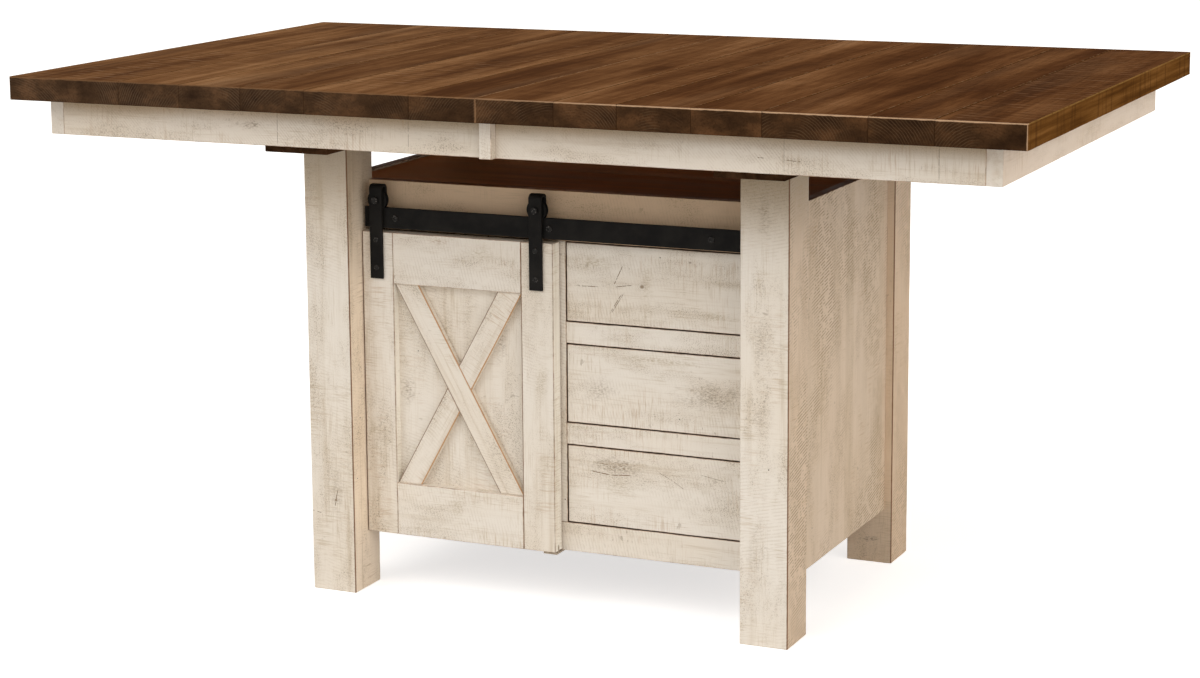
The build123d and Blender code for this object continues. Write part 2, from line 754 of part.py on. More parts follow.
def drawer_runners(level):
    """The inner runners, fixed to the sides of one drawer box."""
    half_height = CHANNEL_HEIGHT / 2 - CHANNEL_WALL - CHANNEL_CLEARANCE
    runners = []
    for wall, inward in ((centre_right, 1), (drawer_right, -1)):
        web = wall + inward * CHANNEL_SPACE
        mouth = web - inward * INNER_CHANNEL_DEPTH
        runners.append(channel(web, mouth, channel_height(level), INNER_CHANNEL_LENGTH, half_height))
    return runners


def all_nodes():
    """Every node's name and its solids."""
    nodes = {
        "top_left_planks": planks(LEFT_PLANKS, -1, PIN_RADIUS + SNUG, PIN_SOCKET),
        "top_left_long_aprons": long_aprons(-1),
        "top_left_end_apron": end_apron(-1),
        "top_left_cover_blocks": cover_blocks(),
        "top_left_alignment_pins": alignment_pins(),
        "top_left_slide_rails": moving_rails(-1),
        "top_left_rack": rack(),
        "top_right_planks": planks(RIGHT_PLANKS, 1, PIN_RADIUS + PIN_CLEARANCE, PIN_REACH + FACE_CLEARANCE),
        "top_right_long_aprons": long_aprons(1),
        "top_right_end_apron": end_apron(1),
        "top_right_slide_rails": moving_rails(1),
        "top_right_rack": Rot(0, 0, 180) * rack(),
        "equaliser_pinion": equaliser_pinion(),
        "equaliser_pin": equaliser_pin(),
        "equaliser_bar": equaliser_bar(),
        "slide_fixed_rails": fixed_rails(),
        "cleats": cleats(),
        "leg_front_left": leg(-1, -1),
        "leg_front_right": leg(1, -1),
        "leg_back_left": leg(-1, 1),
        "leg_back_right": leg(1, 1),
        "side_panel_left": side_panel(-1),
        "side_panel_right": side_panel(1),
        "back_panel": back_panel(),
        "cabinet_bottom": cabinet_board(CABINET_LIFT),
        "cabinet_top": cabinet_board(top_board_underside),
        "frame_rail_top": frame_rail_top(),
        "frame_rail_bottom": frame_member((-leg_inner_x, leg_inner_x), (CABINET_LIFT, frame_low)),
        "frame_outer_stiles": outer_stiles(),
        "frame_centre_stile": frame_member((-centre_right, centre_right), (frame_low, frame_high)),
        "drawer_rails": drawer_rails(),
        "partition": inner_wall((centre_right - BOARD_THICKNESS, centre_right)),
        "drawer_wall": inner_wall((drawer_right, drawer_right + BOARD_THICKNESS)),
        "shelf": shelf(),
        "shelf_battens": shelf_battens(),
        "door_track": door_track(),
        "track_spacers": [track_spacer(place) for place in track_bolt_places()],
        "track_bolts": [track_bolt(place) for place in track_bolt_places()],
        "door_guide": door_guide(),
        "drawer_fixed_runners": fixed_runners(),
        "door_stiles": door_stiles(),
        "door_rail_top": door_member((door_inner_left, door_inner_right), (door_inner_high, door_high), Axis.X),
        "door_rail_bottom": door_member((door_inner_left, door_inner_right), (door_low, door_inner_low), Axis.X),
        "door_panel": panel_space(0),
        "door_long_brace": long_brace(),
        "door_short_braces": short_braces(),
        "door_hangers": [strap_hanger(x) for x in strap_places],
        "wheel_axles": [wheel_axle(x) for x in strap_places],
        "wheel_left": wheel(strap_places[0]),
        "wheel_right": wheel(strap_places[1]),
    }
    for name, level in zip(("bottom", "middle", "top"), opening_levels()):
        nodes[f"drawer_{name}_front"] = drawer_front(level)
        nodes[f"drawer_{name}_box"] = drawer_box(level)
        nodes[f"drawer_{name}_runners"] = drawer_runners(level)
    return nodes


def write(nodes):
    """One STEP file for each node, with its solids kept apart."""
    os.makedirs("parts", exist_ok=True)
    for name, shape in nodes.items():
        shapes = shape if isinstance(shape, list) else [shape]
        solids = [solid for piece in shapes for solid in piece.solids()]
        export_step(solids[0] if len(solids) == 1 else Compound(children=solids), f"parts/{name}.step")


write(all_nodes())
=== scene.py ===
import json
from math import atan, ceil, copysign, cos, pi, radians, sin
from functools import partial

import bmesh
import bpy
import numpy as np
from mathutils import Matrix, Vector
from mathutils.kdtree import KDTree

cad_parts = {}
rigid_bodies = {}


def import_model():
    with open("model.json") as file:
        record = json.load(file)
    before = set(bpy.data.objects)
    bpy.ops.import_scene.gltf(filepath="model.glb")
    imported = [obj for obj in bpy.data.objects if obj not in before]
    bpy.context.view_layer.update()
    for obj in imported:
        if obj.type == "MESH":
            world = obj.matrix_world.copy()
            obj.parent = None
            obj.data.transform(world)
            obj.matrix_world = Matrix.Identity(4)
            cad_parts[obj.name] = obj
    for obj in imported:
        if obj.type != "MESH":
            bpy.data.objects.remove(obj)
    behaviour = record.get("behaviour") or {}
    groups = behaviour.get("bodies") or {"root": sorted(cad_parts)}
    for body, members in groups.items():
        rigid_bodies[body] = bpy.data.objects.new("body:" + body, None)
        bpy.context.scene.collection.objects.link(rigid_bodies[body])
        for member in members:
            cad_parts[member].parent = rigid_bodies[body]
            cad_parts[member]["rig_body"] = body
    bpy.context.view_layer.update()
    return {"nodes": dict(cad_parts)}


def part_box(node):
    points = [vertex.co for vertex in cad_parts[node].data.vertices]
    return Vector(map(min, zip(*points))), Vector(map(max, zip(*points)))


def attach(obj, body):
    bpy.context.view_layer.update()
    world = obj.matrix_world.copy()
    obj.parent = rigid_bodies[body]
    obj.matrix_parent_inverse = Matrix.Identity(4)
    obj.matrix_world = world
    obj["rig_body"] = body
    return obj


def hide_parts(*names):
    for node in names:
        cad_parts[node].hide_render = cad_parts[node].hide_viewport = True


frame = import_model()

# A kitchen table with a storage cabinet: stained planks over a painted base.
# Metres, in the frame of the CAD model: +X to the right, -Y the front, +Z up.

MM = 0.001
AXES = {"x": 0, "y": 1, "z": 2}
ATTRIBUTES = ("local", "half", "tone")


def new_object(name, data):
    item = bpy.data.objects.new(name, data)
    bpy.context.scene.collection.objects.link(item)
    return item


# ---- camera ----
PICTURE_WIDTH, PICTURE_HEIGHT = 1200, 678
FOCAL_PIXELS = 2752
CENTRE_PIXEL = (560, 250)
CAMERA_PLACE = (1.936, -4.381, 1.424)
CAMERA_YAW, CAMERA_PITCH, CAMERA_ROLL = (radians(a) for a in (24.99, 9.94, -0.53))
SENSOR = 36


def make_camera():
    data = bpy.data.cameras.new("camera")
    camera = new_object("camera", data)
    data.sensor_width = SENSOR
    data.lens = FOCAL_PIXELS * SENSOR / PICTURE_WIDTH
    data.shift_x = (PICTURE_WIDTH / 2 - CENTRE_PIXEL[0]) / PICTURE_WIDTH
    data.shift_y = (CENTRE_PIXEL[1] - PICTURE_HEIGHT / 2) / PICTURE_WIDTH
    data.clip_end = 200
    camera.matrix_world = Matrix.Translation(CAMERA_PLACE)
    for angle, axis in ((CAMERA_YAW, "Z"), (pi / 2 - CAMERA_PITCH, "X"), (CAMERA_ROLL, "Z")):
        camera.matrix_world = camera.matrix_world @ Matrix.Rotation(angle, 4, axis)
    bpy.context.scene.camera = camera


# ---- node graphs ----


def operator(operation):
    """A method that puts its value, and any others, into a Math node."""
    return lambda value, *others: value.graph.math(operation, value, *others)


class Value:
    """An output in a node tree. Arithmetic on it adds nodes: | gives the larger value and & the smaller."""

    def __init__(self, graph, socket):
        self.graph, self.socket = graph, socket

    __add__, __sub__, __mul__, __or__, __and__, __abs__, sine = map(
        operator, ("ADD", "SUBTRACT", "MULTIPLY", "MAXIMUM", "MINIMUM", "ABSOLUTE", "SINE")
    )

    def __rsub__(self, other):
        return self.graph.math("SUBTRACT", other, self)

    def step(self, start, end, low=0.0, high=1.0):
        """A smooth step from low to high as the value goes from start to end."""
        inputs = {"Value": self, 1: start, 2: end, 3: low, 4: high}
        return self.graph.value("MapRange", inputs, interpolation_type="SMOOTHSTEP")


class Graph:
    """The node tree of a new material or world, with short calls for the nodes used here."""

    def __init__(self, name, kind="materials"):
        self.owner = getattr(bpy.data, kind).new(name)
        self.owner.use_nodes = True
        self.tree = self.owner.node_tree
        self.tree.nodes.clear()

    def add(self, kind, inputs, **settings):
        node = self.tree.nodes.new("ShaderNode" + kind)
        for key, value in settings.items():
            setattr(node, key, value)
        for key, value in inputs.items():
            socket = node.inputs[key]
            if isinstance(value, Value):
                self.tree.links.new(value.socket, socket)
            else:
                socket.default_value = (*value, 1) if socket.type == "RGBA" else value
        return node

    def value(self, kind, inputs, output=0, **settings):
        return Value(self, self.add(kind, inputs, **settings).outputs[output])

    def math(self, operation, *values):
        return self.value("Math", dict(enumerate(values)), operation=operation)

    def vector(self, operation, *values, output="Vector"):
        return self.value("VectorMath", dict(enumerate(values)), output, operation=operation)

    def parts(self, value):
        return [Value(self, part) for part in self.add("SeparateXYZ", {0: value}).outputs]

    def place(self):
        return self.value("TexCoord", {}, "Object")

    def noise(self, place, scale, detail=3, roughness=0.5, distortion=0.0):
        """Noise from 0 to 1 whose scale differs along each axis."""
        inputs = {
            "Vector": self.vector("MULTIPLY", place, scale), "Scale": 1.0, "Detail": detail,
            "Roughness": roughness, "Distortion": distortion,
        }
        return self.value("TexNoise", inputs)

    def cracks(self, value, width):
        """1 on thin lines at uneven steps of value, and 0 between them."""
        settings = {"voronoi_dimensions": "1D", "feature": "DISTANCE_TO_EDGE"}
        return self.value("TexVoronoi", {"W": value}, "Distance", **settings).step(width, 0)

    def mix(self, factor, first, second, blend="MIX"):
        return self.value("Mix", {0: factor, 6: first, 7: second}, 2, data_type="RGBA", blend_type=blend)

    def ramp(self, value, stops):
        node = self.add("ValToRGB", {0: value})
        elements = node.color_ramp.elements
        while len(elements) < len(stops):
            elements.new(0.5)
        for element, (place, colour) in zip(elements, stops):
            element.position = place
            element.color = (*colour, 1)
        return Value(self, node.outputs[0])

    def tint(self, tint, amount):
        """Gives the colour that share of a tint."""
        self.colour = self.mix(amount, self.colour, tint)

    def surface(self, roughness, height, depth, strength, specular, **constants):
        """Ends the tree in a shader of the colour, with bumps of that height, depth and strength."""
        inputs = {
            "Base Color": self.colour, "Roughness": roughness, "Specular IOR Level": specular, **constants,
            "Normal": self.value("Bump", {"Height": height, "Distance": depth, "Strength": strength}),
        }
        self.add("OutputMaterial", {"Surface": self.value("BsdfPrincipled", inputs)})
        return self.owner


def along_grain(graph, grain):
    """Object coordinates turned so that X runs along the grain."""
    x, y, z = graph.parts(graph.place())
    order = {"x": (x, y, z), "y": (y, x, z), "z": (z, x, y)}[grain]
    return graph.value("CombineXYZ", dict(enumerate(order)))


class BoardPlace:
    """Where a point is on its board, from the attributes of its piece."""

    def __init__(self, graph):
        local, half, tone = (graph.value("Attribute", {}, "Vector", attribute_name=n) for n in ATTRIBUTES)
        self.tones = graph.parts(tone)
        self.along, self.across, self.deep = graph.parts(local)
        inside = graph.vector("SUBTRACT", half, graph.vector("ABSOLUTE", local))
        self.to_end, self.to_side, self.to_face = graph.parts(inside)
        self.to_arris = (self.to_end & self.to_side) | ((self.to_end | self.to_side) & self.to_face)
        self.place = graph.vector("MULTIPLY_ADD", tone, (41, 53, 37), local)
        self.noise = partial(graph.noise, self.place)


# ---- materials ----

CREAM = (0.85, 0.80, 0.73)
CREAM_WARM = (0.80, 0.70, 0.57)
SHADE_TAN = (0.665, 0.488, 0.328)
GLAZE_AND_SHADE = (0.50, 0.39, 0.255)
OLIVE = (0.40, 0.31, 0.17)
HEAD_SHADE_BROWN = (0.42, 0.32, 0.20)
GLAZE_RUST = (0.50, 0.33, 0.19)
GLAZE_SAWN = (0.36, 0.26, 0.155)
GLAZE_DARK = (0.24, 0.165, 0.095)
RUB_BROWN = (0.20, 0.09, 0.035)
RUB_LINE = (0.16, 0.07, 0.026)
RUB_ORANGE = (0.52, 0.29, 0.14)
REVEAL = (0.05, 0.025, 0.012)
BROWN_STAIN = (0.30, 0.135, 0.060)


def painted_wood(
    name, warmth=0.0, glaze=1.0, dark_sides=False, staves=0.0, stave_tone=0.2, marks=(), under=0.0,
    tan=0, tan_amount=1.0, tan_tint=SHADE_TAN, tan_hatch=0.4, hatch=0.16, skew=0.25, rubbed=0.8,
    arris=0, arris_tint=RUB_LINE, far_arris=0.0, shade=0.0, head=0.0, stained_top=False,
):
    """Off-white paint over rough-sawn wood, with glaze in the saw marks and rubbed edges.

    tan is the side (-1 or 1) of a board whose narrow face gets painted light and shade in tan, for the
    warmer, dimmer light on faces turned to the side, or 2 for the whole board. A tan_tint lighter than
    the paint makes it a painted highlight.
    arris is the side of a board whose front arris is rubbed through to a line, and far_arris is how
    strong the line is on the other side.
    shade is how strongly a painted shadow of the top's overhang darkens the upper part of a board,
    and head how strongly a painted shade darkens the top of a leg, under the table top.
    stained_top gives the faces that look up the brown stain of the cabinet's top.
    """
    graph = Graph(name)
    board = BoardPlace(graph)
    noise, tint = board.noise, graph.tint

    broad = noise((3, 5, 5), 2)
    graph.colour = graph.mix(broad.step(0.3, 0.75, warmth, min(1.0, warmth + 0.45)), CREAM, CREAM_WARM)
    hatching = hatch
    # under paints shade over a whole board, for a leg that stands in the cabinet's shadow.
    if under:
        tint(SHADE_TAN, under)
    # tan paints light and shade: a warm tan for the dimmer light on faces turned to the side.
    if tan == 2:
        tint(tan_tint, board.to_end.step(0.0004, 0.0012, 0, tan_amount))
    elif tan:
        outer = board.to_side.step(0.002, 0.001) * (board.across * tan).step(0.001, 0.002)
        tint(tan_tint, outer * tan_amount)
        hatching = outer * tan_hatch + hatch
    # shade paints the shadow that the top's overhang casts on the upper part of a board, in glaze colour.
    if shade:
        upper = (broad * 0.02 + board.across).step(0.010, 0.040, 0, shade)
        tint(GLAZE_AND_SHADE, upper)
    # head paints shade on the top of a leg, under the table top.
    if head:
        upper = (broad * 0.05 + graph.parts(graph.place())[2]).step(0.66, 0.83, 0, head)
        tint(HEAD_SHADE_BROWN, upper)
    streaks = noise((2.5, 60, 60), 4, 0.6).step(0.5, 0.75) * broad.step(0.35, 0.65, 0.1, 0.5)
    tint(GLAZE_AND_SHADE, streaks * glaze)
    if staves:
        shift = board.across * staves + 0.37
        stave = graph.parts(graph.value("TexVoronoi", {"W": shift}, "Color", voronoi_dimensions="1D"))[0]
        tint(GLAZE_AND_SHADE, stave.step(0.2, 0.9, 0, stave_tone))

    lines = noise((430, 24, 24), 2, 0.6).step(0.50, 0.66) * noise((7, 15, 15), 3, 0.6).step(0.42, 0.70)
    combing = noise((20, 480, 480), 2, 0.6).step(0.52, 0.66) * noise((5, 18, 18), 3, 0.6).step(0.44, 0.68)
    slant = (board.across + board.deep) * skew + board.along
    teeth = (slant * 1080 + noise((6, 4, 4), 2) * 7).sine().step(-0.1, 0.9)
    teeth = teeth * noise((70, 90, 90), 2).step(0.38, 0.54) * noise((4, 8, 8), 2).step(0.38, 0.60)
    tint(GLAZE_SAWN, teeth * hatching)
    line_tint = graph.mix(noise((14, 14, 14), 1).step(0.48, 0.62), GLAZE_AND_SHADE, GLAZE_RUST)
    tint(line_tint, lines * (0.46 * glaze))
    tint(GLAZE_AND_SHADE, combing * (0.36 * glaze))

    fleck_patch = noise((7, 20, 20), 4, 0.62).step(0.43, 0.72, 0.03)
    # Flecks also gather in the painted shade under the top, which is speckled there.
    if shade or head:
        fleck_patch = fleck_patch | upper * 0.6
    tint(GLAZE_AND_SHADE, fleck_patch * (0.2 * glaze))
    flecks = noise((560, 520, 520), 1, 0.6).step(0.52, 0.68) * fleck_patch
    tint(GLAZE_DARK, flecks * (0.6 * glaze))
    chips = noise((150, 60, 60), 2, 0.6).step(0.64, 0.68) * noise((9, 20, 20), 3, 0.6).step(0.57, 0.68)
    tint(GLAZE_DARK, chips * (0.4 * glaze))

    hairlines = graph.cracks(graph.parts(board.place)[0] * 6, 0.0035) * noise((20, 60, 60), 2).step(0.45, 0.6)
    if staves:
        hairlines = hairlines | graph.cracks(shift, 0.008)
    tint(GLAZE_AND_SHADE, hairlines * 0.4)

    dents = lines | flecks
    for mark in marks:
        stain_colour, amount = mark(graph)
        tint(stain_colour, amount)
        dents = dents | amount

    if dark_sides:
        tint(REVEAL, board.to_face.step(0.0004, 0.0013))
    wobble = noise((70, 70, 70), 2)
    rub = ((wobble - 0.5) * 0.0016 + board.to_arris).step(0.0012, 0.0003)
    rub = rub * noise((16, 16, 16), 3).step(0.32, 0.5, 0.35) * rubbed
    tint(graph.mix(wobble.step(0.35, 0.65), RUB_BROWN, RUB_ORANGE), rub)
    if arris:
        corner = (wobble - 0.5) * 0.0008 + (board.to_side | board.to_face)
        line = corner.step(0.0022, 0.0013) * board.deep.step(0.0, -0.002)
        aside = (board.across * arris).step(-0.001, 0.001)
        tint(arris_tint, line * aside * 0.95)
        if far_arris:
            tint(RUB_LINE, line * (aside * -far_arris + far_arris))

    if stained_top:
        upward = graph.parts(graph.value("NewGeometry", {}, "Normal"))[2]
        tint(BROWN_STAIN, upward.step(0.75, 0.95))

    grain = noise((12, 300, 300), 3, 0.6)
    height = teeth * -0.3 + dents * -0.6 + grain * 0.5
    roughness = (grain + dents).step(0.3, 1.1, 0.46, 0.68)
    return graph.surface(roughness, height, 0.0006, 0.7, 0.08 if stained_top else 0.35)


# Marks on boards of the front. Their points are (x, z), and all sizes are in millimetres.


def from_point(graph, point):
    offset = graph.vector("SUBTRACT", graph.place(), (point[0] * MM, 0, point[1] * MM))
    return graph.vector("MULTIPLY", offset, (1 / MM, 0, 1 / MM))


def length(graph, vector, scale=(1, 1)):
    scaled = graph.vector("MULTIPLY", vector, (scale[0], 0, scale[1]))
    return graph.vector("LENGTH", scaled, output="Value")


def knot(centre, radius):
    """A small knot on a board of the front."""

    def mark(graph):
        wobble = graph.noise(graph.place(), (90, 0, 90), 2)
        distance = wobble * radius + length(graph, from_point(graph, centre), (0.8, 1))
        core = distance.step(radius * 1.5, radius * 1.1)
        halo = distance.step(radius * 4.5, radius * 1.5) * (distance * 2.6).sine().step(0.2, 0.9)
        return GLAZE_DARK, core * 0.8 | halo * 0.3

    return mark


def stain(centre, reach, strength, tint=GLAZE_DARK):
    """Glaze caught in a rough patch of a board of the front."""

    def mark(graph):
        ragged = graph.noise(graph.place(), (45, 0, 80), 4, 0.65)
        distance = ragged * 2 + length(graph, from_point(graph, centre), (1 / reach[0], 1 / reach[1]))
        strokes = graph.noise(graph.place(), (170, 0, 430), 3, 0.65).step(0.44, 0.60, 0.12)
        return tint, distance.step(2.0, 0.9, 0, strength) * strokes

    return mark


def scratch(start, end, width):
    """A scratch on a board of the front, between two points."""

    def mark(graph):
        along = Vector((end[0] - start[0], 0, end[1] - start[1]))
        span = along.length
        along.normalize()
        offset = from_point(graph, start)
        forward = graph.vector("DOT_PRODUCT", offset, along[:], output="Value")
        sideways = graph.vector("DOT_PRODUCT", offset, (-along.z, 0, along.x), output="Value")
        rough = graph.noise(graph.place(), (160, 0, 160), 2)
        line = abs((rough - 0.5) * (width * 2) + sideways).step(width, width * 0.4)
        ends = forward.step(0, span * 0.15) * forward.step(span, span * 0.85)
        return GLAZE_DARK, line * ends * rough.step(0.35, 0.5)

    return mark


TOP_STOPS = (
    (0.30, (0.090, 0.040, 0.0190)),
    (0.42, (0.136, 0.063, 0.0284)),
    (0.53, (0.192, 0.095, 0.0435)),
    (0.65, (0.265, 0.141, 0.0680)),
    (0.80, (0.365, 0.213, 0.1150)),
)
SIDE_STOPS = ((0.3, (0.069, 0.026, 0.0062)), (0.5, (0.145, 0.061, 0.0145)), (0.7, (0.235, 0.107, 0.030)))
END_STOPS = ((0.3, (0.028, 0.015, 0.0085)), (0.5, (0.056, 0.030, 0.0155)), (0.7, (0.115, 0.058, 0.028)))


def plank_wood():
    """Mottled brown stain over saw-marked planks, worn to orange on the edges."""
    graph = Graph("plank_wood")
    board = BoardPlace(graph)
    noise, tint = board.noise, graph.tint

    x = graph.parts(graph.place())[0]
    rightward = x.step(-0.75, 0.55)
    figure = noise((1.2, 17, 17), 5, 0.62, 0.4)
    value = (noise((1.9, 4, 4), 2) - 0.5) * 0.5 + figure
    value = (noise((3.5, 120, 120), 3, 0.6) - 0.5) * 0.2 + value
    value = (noise((30, 5, 5), 2) - 0.5) * 0.14 + value
    graph.colour = graph.ramp((board.tones[0] - 0.5) * 0.07 + value, TOP_STOPS)
    tint((0.130, 0.081, 0.053), noise((1.3, 9, 9), 2).step(0.5, 0.74, 0, 0.4))

    pores = noise((16, 560, 560), 3, 0.7)
    tint((0.050, 0.024, 0.012), pores.step(0.48, 0.66, 0, 0.5))
    beat = (board.along * 235 + (board.across * 60 + noise((3, 5, 5)) * 12)).sine()
    chatter = (noise((85, 7, 7), 3, 0.6) - 0.5) * 3.4 + beat * 0.55
    saw_patch = noise((2.6, 8, 8), 2).step(0.43, 0.60, 0.1) * board.tones[1].step(0.3, 0.75, 0.35)
    saw_patch = saw_patch * rightward.step(0.3, 0.6, 1, 0.5) | x.step(0.735, 0.755)
    saw_patch = saw_patch * noise((40, 45, 45), 2).step(0.38, 0.55)
    saw_lines = chatter.step(0.15, 0.85) * saw_patch
    tint((0.060, 0.030, 0.016), saw_lines * 0.4)
    tint((0.40, 0.26, 0.17), chatter.step(-0.25, -0.9) * saw_patch * 0.24)
    # A painted sheen: the planks are lighter and greyer towards the left and darker to the right.
    painted_sheen = graph.mix(rightward, (1.28, 1.24, 1.15), (0.88, 0.75, 0.63))
    graph.colour = graph.mix(1.0, graph.colour, painted_sheen, "MULTIPLY")

    side_colour = graph.ramp(noise((3, 90, 90), 4, 0.6), SIDE_STOPS)
    upright_marks = noise((75, 3, 6), 3, 0.6).step(0.50, 0.64, 0, 0.5)
    side_colour = graph.mix(upright_marks, side_colour, (0.070, 0.028, 0.008))
    tint(side_colour, board.to_side.step(0.0022, 0.0008))

    pith = graph.value("CombineXYZ", {
        1: board.tones[1] * 0.30 + (board.across - 0.15), 2: board.tones[2] * 0.07 + (board.deep + 0.03),
    })
    pith_distance = graph.vector("LENGTH", pith, output="Value")
    rings = (noise((24, 24, 24), 5, 0.6) * 13 + pith_distance * 1500).sine()
    end_value = (board.tones[0] - 0.5) * 0.12 + noise((14, 16, 28), 5, 0.65)
    grit = noise((300, 300, 300), 2, 0.6).step(0.5, 0.7, 0, 0.4)
    end_colour = graph.mix(grit, graph.ramp(end_value, END_STOPS), (0.025, 0.011, 0.005))
    ring_lines = rings.step(0.55, 0.98) * noise((9, 13, 13), 2).step(0.44, 0.64)
    end_colour = graph.mix(ring_lines * 0.3, end_colour, (0.19, 0.13, 0.085))
    # The same painted sheen on the end grain: lighter to the left, darker to the right.
    end_sheen = graph.mix(rightward, (1.12, 1.15, 1.2), (0.94, 0.86, 0.76))
    end_colour = graph.mix(1.0, end_colour, end_sheen, "MULTIPLY")
    on_end = board.to_end.step(0.0022, 0.0008)
    tint(end_colour, on_end)

    wobble = noise((60, 60, 60))
    ragged = (wobble - 0.5) * 0.0028
    from_end = TOP_HALF_LENGTH - abs(x)
    open_side = from_end.step(0.008, 0.006) | abs(x - 0.002).step(0.004, 0.0025)
    to_joint = ragged * 0.4 + board.to_side
    joint = to_joint.step(0.0011, 0.0004) * wobble.step(0.25, 0.45) * (1 - open_side)
    beside = to_joint.step(0.0011, 0.0015) * to_joint.step(0.0036, 0.0028)
    beside = beside * noise((55, 8, 8)).step(0.46, 0.60) * board.across.step(-0.001, 0.001)
    beside = beside * (1 - (on_end | open_side))
    tint((0.40, 0.25, 0.15), beside * 0.5)
    joint_shade = (rightward * 0.25 + 0.65) * (on_end * -0.5 + 1)
    tint((0.035, 0.015, 0.006), joint * joint_shade)

    end_arris = (board.to_end | board.to_face) + ragged
    # Rubbed arrises on the ends, made stronger towards the right as a painted glint.
    end_rub = end_arris.step(0.0026, 0.0012) * (rightward * 0.5 + 0.5)
    second = abs(board.to_end - 0.0058).step(0.0009, 0.0003) * noise((30, 9, 30), 2).step(0.45, 0.6, 0, 0.45)
    end_rub = end_rub | second * board.to_face.step(0.002, 0.001)
    side_arris = (board.to_side | board.to_face) + ragged
    side_rub = side_arris.step(0.0024, 0.0010) * open_side * wobble.step(0.3, 0.55, 0.25, 0.9)
    upright = ((board.to_side | board.to_end) + ragged).step(0.0022, 0.0010) * open_side
    rub = (end_rub | side_rub) * board.deep.step(0.0, 0.008) | upright * 0.8
    # Rubbed edges are orange-brown wear, lightened towards the right as a painted glint.
    rub_and_glint = graph.mix(x.step(-0.12, 0.3), (0.27, 0.14, 0.065), (0.58, 0.38, 0.235))
    golden = x.step(0.880, 0.884) * board.to_end.step(0.003, 0.006)
    tint(graph.mix(golden, rub_and_glint, (0.30, 0.165, 0.050)), rub * 0.85)

    height = joint * -1.0 + (saw_lines * -0.8 + pores * -0.35)
    return graph.surface(figure.step(0.3, 0.7, 0.42, 0.6), height, 0.0008, 0.8, 0.0)


def stained_wood(name, grain, dark, light, roughness, specular, board_place=False):
    """Plain-sawn boards with a streaky stain. Without board_place it uses object coordinates."""
    graph = Graph(name)
    place = BoardPlace(graph).place if board_place else along_grain(graph, grain)
    figure = graph.noise(place, (1.6, 28, 28), 5, 0.62, 0.4)
    pores = graph.noise(place, (18, 600, 600), 2, 0.7)
    graph.colour = graph.mix(figure.step(0.3, 0.7), dark, light)
    graph.tint(dark, pores.step(0.52, 0.75, 0, 0.45))
    gloss = figure.step(0.3, 0.7, roughness, roughness + 0.12)
    return graph.surface(gloss, pores, 0.0004, 0.4, specular)


def cabinet_wood():
    """Dark reddish stain, lightened towards the left end as a painted light, whose sheen keeps the stain's
    colour.
    """
    graph = Graph("brown_stained_wood")
    place = along_grain(graph, "x")
    figure = graph.noise(place, (1.4, 22, 22), 5, 0.6, 0.4)
    pores = graph.noise(place, (16, 500, 500), 2, 0.7)
    graph.colour = graph.ramp(figure, (
        (0.3, (0.23, 0.088, 0.033)), (0.5, (0.34, 0.128, 0.050)), (0.7, (0.45, 0.172, 0.068)),
    ))
    graph.tint((0.16, 0.060, 0.024), pores.step(0.52, 0.75, 0, 0.4))
    # Painted light: the stain is lightened towards the left end, where more light reaches the cabinet's top.
    lit_left_end = (figure * -0.25 + graph.parts(place)[0]).step(-0.12, -0.44, 0, 0.85)
    graph.tint((0.85, 0.50, 0.28), lit_left_end)
    sheen = {"Metallic": 0.38, "Specular Tint": (0.86, 0.44, 0.21)}
    return graph.surface(figure.step(0.3, 0.7, 0.42, 0.58), pores, 0.0004, 0.4, 0.0, **sheen)


def powder_coat():
    graph = Graph("powder_coat")
    grit = graph.noise(graph.place(), (1500, 1500, 1500), 2, 0.6)
    cloud = graph.noise(graph.place(), (30, 30, 30))
    graph.colour = graph.mix(cloud.step(0.3, 0.7), (0.0085, 0.008, 0.0078), (0.016, 0.015, 0.014))
    return graph.surface(cloud.step(0.3, 0.7, 0.42, 0.56), grit, 0.0003, 0.5, 0.05)


def bolt_black():
    graph = Graph("bolt_black")
    # The flecks are wear, lightened to stand in as painted glints on the heads.
    wear = graph.noise(graph.place(), (500, 500, 500)).step(0.55, 0.75)
    graph.colour = graph.mix(wear, (0.016, 0.015, 0.014), (0.16, 0.15, 0.14))
    return graph.surface(wear.step(0, 1, 0.26, 0.4), wear, 0.0001, 0.3, 0.12)


def painted_plate():
    graph = Graph("painted_plate")
    cloud = graph.noise(graph.place(), (140, 140, 140))
    graph.colour = graph.mix(cloud.step(0.35, 0.65), (0.36, 0.29, 0.22), (0.52, 0.45, 0.36))
    return graph.surface(cloud.step(0.3, 0.7, 0.5, 0.65), cloud, 0.0002, 0.4, 0.3)


def zinc_plate():
    graph = Graph("zinc_plate")
    brushed = graph.noise(graph.place(), (900, 12, 900), 3, 0.6)
    graph.colour = graph.mix(brushed, (0.42, 0.43, 0.45), (0.66, 0.67, 0.68))
    return graph.surface(brushed.step(0.3, 0.7, 0.28, 0.42), brushed, 0.0001, 0.3, 0.5, Metallic=1.0)


def black_nylon():
    graph = Graph("black_nylon")
    cloud = graph.noise(graph.place(), (200, 200, 200))
    graph.colour = graph.mix(cloud, (0.009, 0.009, 0.009), (0.02, 0.019, 0.018))
    return graph.surface(cloud.step(0.3, 0.7, 0.4, 0.55), cloud, 0.0002, 0.3, 0.4)


# ---- shapes ----


def hashed(cell, seed):
    """A repeatable number from -1 to 1 for each row of whole numbers."""
    mixed = (cell * np.array([73856093, 19349663, 83492791])).sum(axis=1) + seed * 2654435
    mixed = (mixed ^ (mixed >> 13)) & 0x7FFFFFFF
    mixed = (mixed * 1274126177) & 0x7FFFFFFF
    return ((mixed ^ (mixed >> 16)) & 0xFFFF) / 32767.5 - 1


